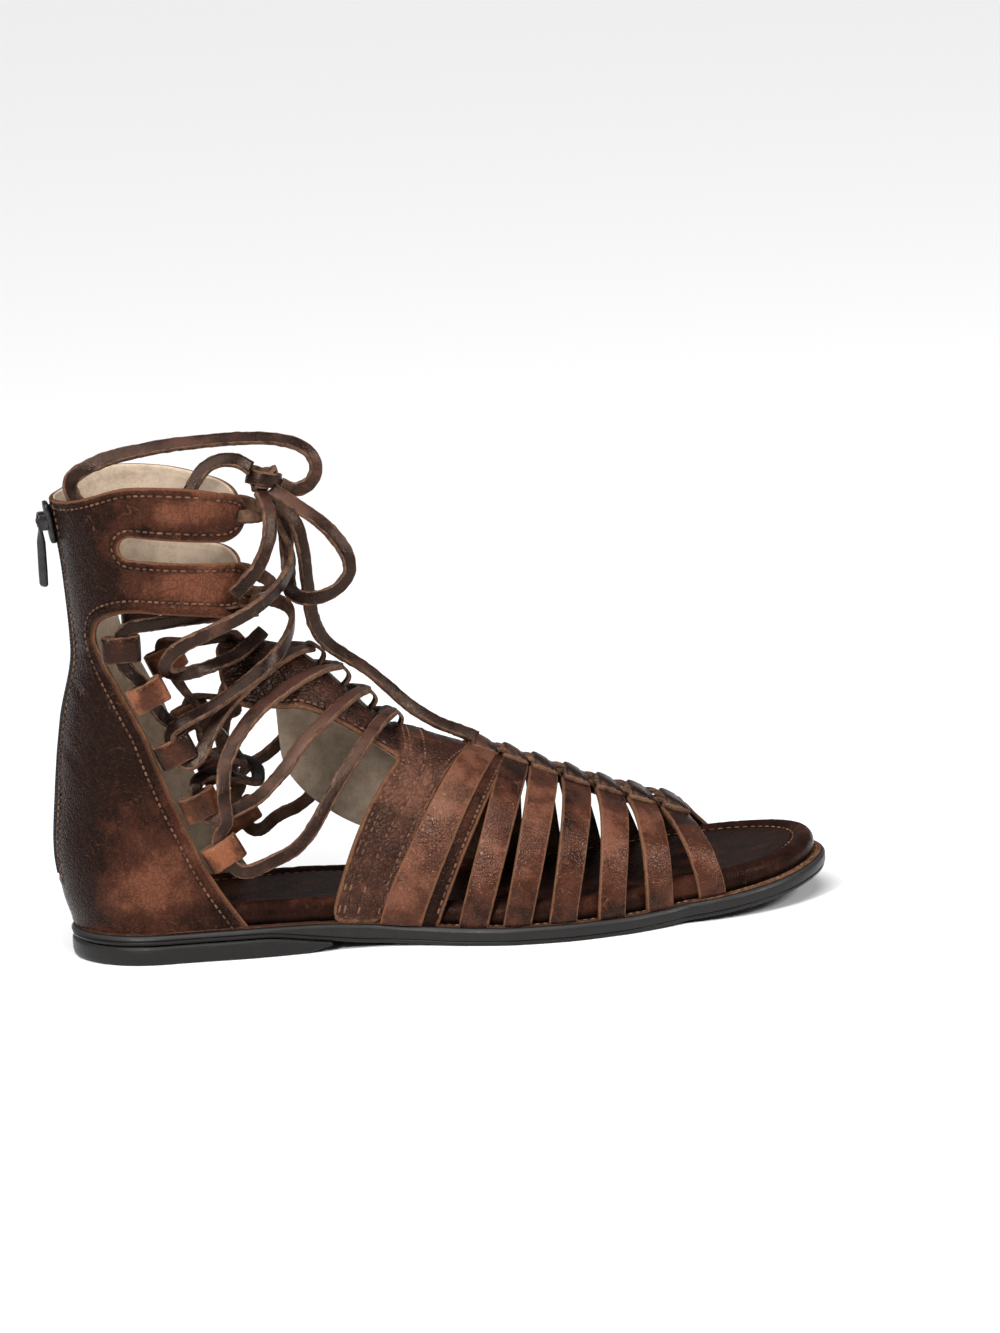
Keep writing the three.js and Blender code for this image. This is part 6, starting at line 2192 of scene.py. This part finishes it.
    def keeper(self, at: float) -> Body:
        """Arches a keeper over the lace on the ridge."""
        angle = np.linspace(0, np.pi, 17)
        across, over = squared_off(np.cos(angle), 0.6), np.sin(angle) ** 0.6
        outer = np.stack([4.3 * across, 4.9 * over - 0.4], 1)
        inner = np.stack([3.3 * across, 3.9 * over - 0.4], 1)
        section = np.vstack([outer, inner[::-1]])
        middle = (outer + inner) / 2
        target = np.vstack([middle, middle[::-1]])
        kinds = [Layer.FACE] * 16 + [Layer.CUT] + [Layer.LINING] * 16 + [Layer.CUT]
        slope = math.atan2(float(LAST.ridge(at + 1) - LAST.ridge(at - 1)), 2)
        along = np.array([math.cos(slope), 0, math.sin(slope)])
        up = np.array([-math.sin(slope), 0, math.cos(slope)])
        place = LAST.foot(at, 0)
        stations = [(-3.0, 0.3, 0), (-2.75, 0.08, 0.25), (-2.3, 0, 0.7), (0, -0.05, 3), (2.3, 0, 0.7),
                    (2.75, 0.08, 0.25), (3.0, 0.3, 0)]
        rings = []
        for y, shrink, _ in stations:
            ring = section + (target - section) * shrink
            rings.append(place + ring[:, :1] * along + ring[:, 1:] * up + np.array([0, y, 0]))
        body = ring_tube(np.array(rings), layers=kinds)
        body.rim = np.repeat([rim for _, _, rim in stations], len(section))
        return body


# ---------------------------------------------------------------- zip

@dataclass
class Zip:
    """The zip up the heel's back: tape, chain, slider and pull."""

    finishes: Finishes
    foot: float = 27.3
    top: float = 153.0
    half: float = 3.3
    tooth_pitch: float = 1.26
    pin: tuple[float, float] = (-1.9, 147.0)
    pull_length: float = 22.0
    pull_twist: float = 0.5

    def build(self) -> list[bpy.types.Object]:
        """Builds the zip's parts, the pull on its own body."""
        metal = [self.finishes.metal]
        return [
            self.tape().piece("zip_tape_cloth", [self.finishes.tape], "zip_tape", ["zip_tape"]),
            self.chain().piece("zip_chain", metal, "zip_metal"),
            self.slider().piece("zip_slider_body", metal, "zip_metal", ["zip_slider"]),
            self.pull().piece("zip_pull_tab", metal, "zip_metal", ["zip_pull"], rides="zip_pull"),
        ]

    def tape(self) -> Body:
        """Weaves the tape, with a cord along each side of the chain."""
        z = np.linspace(self.foot, self.top, 120)
        face = LAST.back(z) + 0.5
        section = [(0.2, -self.half), (0.0, -2.6), (0.05, -1.9), (-0.35, -1.5), (0.15, -1.1), (0.15, 1.1),
                   (-0.35, 1.5), (0.05, 1.9), (0.0, 2.6), (0.2, self.half), (1.5, self.half), (1.5, -self.half)]
        return ring_tube(np.stack([np.stack([face + dx, np.full_like(z, y), z], 1) for dx, y in section], 1))

    def chain(self) -> Body:
        """Sets the two rows of teeth, each row half a pitch behind the other."""
        parts = []
        for number, z in enumerate(np.arange(self.foot + 1.2, self.top - 1, self.tooth_pitch / 2)):
            side = -1 if number % 2 else 1
            face = float(LAST.back(z))
            ring = [(0.5, 1.35), (-0.2, 1.15), (-0.35, 0.5), (-0.35, -0.35), (-0.1, -0.6), (0.6, -0.6)]
            rings = [[(face + dx, side * y, z + dz * 0.5) for dx, y in ring] for dz in (-0.8, 0.8)]
            parts.append(ring_tube(np.array(rings)))
        return Body.joined(parts)

    def block(self, stations: Sequence[tuple[float, float, float, float]], middle: Callable) -> Body:
        """Skins a rounded block from its stations: height, half width, half depth and corner share."""
        angle = np.linspace(0, 2 * np.pi, 24, endpoint=False)
        rings = []
        for z, wide, deep, power in stations:
            y = wide * squared_off(np.cos(angle), power)
            x = deep * squared_off(np.sin(angle), power)
            rings.append(np.stack([middle(z) + x, y, np.full_like(x, z)], 1))
        return ring_tube(np.array(rings))

    def slider(self) -> Body:
        """Builds the slider, wide at its shoulders, with the bridge that holds the pull."""
        lean = lambda z: 1.2 - 0.15 * (z - 146.4)
        stations = [(139.5, 1.6, 0.5, 0.5), (139.7, 2.4, 0.85, 0.45), (140.4, 3.1, 1.05, 0.4),
                    (143, 3.4, 1.1, 0.35), (146.4, 3.5, 1.1, 0.35), (149.6, 4.1, 1.1, 0.35),
                    (152.2, 4.2, 1.08, 0.4), (153.1, 3.6, 0.85, 0.45), (153.4, 2.8, 0.5, 0.5)]
        parts = [self.block(stations, lean)]
        x, z = self.pin
        for side in (-1, 1):
            cheek = [(z - 2.7, 0.3, 1.1, 0.6), (z - 2.3, 0.5, 1.7, 0.5), (z, 0.55, 1.95, 0.45),
                     (z + 2.3, 0.5, 1.7, 0.5), (z + 2.7, 0.3, 1.1, 0.6)]
            body = self.block(cheek, lambda _: x + 0.9)
            body.points[:, 1] += side * 3.1
            parts.append(body)
        angle = np.linspace(0, 2 * np.pi, 16, endpoint=False)
        rings = [[(x + r * math.cos(a), y, z + r * math.sin(a)) for a in angle]
                 for y, r in ((-3.5, 0.4), (-3.4, 0.6), (3.4, 0.6), (3.5, 0.4))]
        parts.append(ring_tube(np.array(rings)))
        body = Body.joined(parts)
        body.rim = np.full(len(body.points), 0.6)
        return body

    def pull(self) -> Body:
        """Builds the pull: an eye round the pin, a neck, and a plate with a raised rim."""
        x, z = self.pin
        angle = np.linspace(0, 2 * np.pi, 24, endpoint=False)
        rings = []
        for a in angle:
            spoke = np.array([math.cos(a), 0, math.sin(a)])
            rings.append([np.array([x, 0, z]) + spoke * r + np.array([0, y, 0])
                          for r, y in ((0.82, -1.5), (1.4, -1.7), (1.45, 0), (1.4, 1.7), (0.82, 1.5),
                                       (0.8, 0))])
        eye = ring_tube(np.array(rings), closed=True)
        low = z - self.pull_length
        plate = [(low, 1.0, 0.3, 0.6), (low + 0.25, 1.7, 0.5, 0.5), (low + 0.9, 2.15, 0.58, 0.4),
                 (low + 5, 2.2, 0.6, 0.35), (z - 7, 2.05, 0.6, 0.35), (z - 4.4, 1.5, 0.6, 0.4),
                 (z - 3.2, 1.35, 0.6, 0.4), (z - 1.2, 1.6, 0.6, 0.4), (z - 0.95, 1.4, 0.4, 0.5)]
        tab = self.block(plate, lambda _: x)
        turn = self.pull_twist * smoothstep(z - tab.points[:, 2], 1.5, 6)
        across, deep = tab.points[:, 1].copy(), tab.points[:, 0] - x
        tab.points[:, 0] = x + deep * np.cos(turn) - across * np.sin(turn)
        tab.points[:, 1] = across * np.cos(turn) + deep * np.sin(turn)
        body = Body.joined([eye, tab])
        body.rim = np.full(len(body.points), 0.5)
        return body


# ---------------------------------------------------------------- the sandal


def main() -> None:
    """Builds the studio and every part of the sandal."""
    logging.basicConfig(level=logging.INFO, format="%(message)s")
    Studio().build()
    finishes = Finishes()
    Bow(finishes).build()
    for kind in (Sole, Footbed, Quarter, Vamp, Lacing, Zip):
        part = kind(finishes)
        pieces = part.build()
        LOG.info("%s: %d pieces", type(part).__name__, len(pieces))


if __name__ == "__main__":
    main()
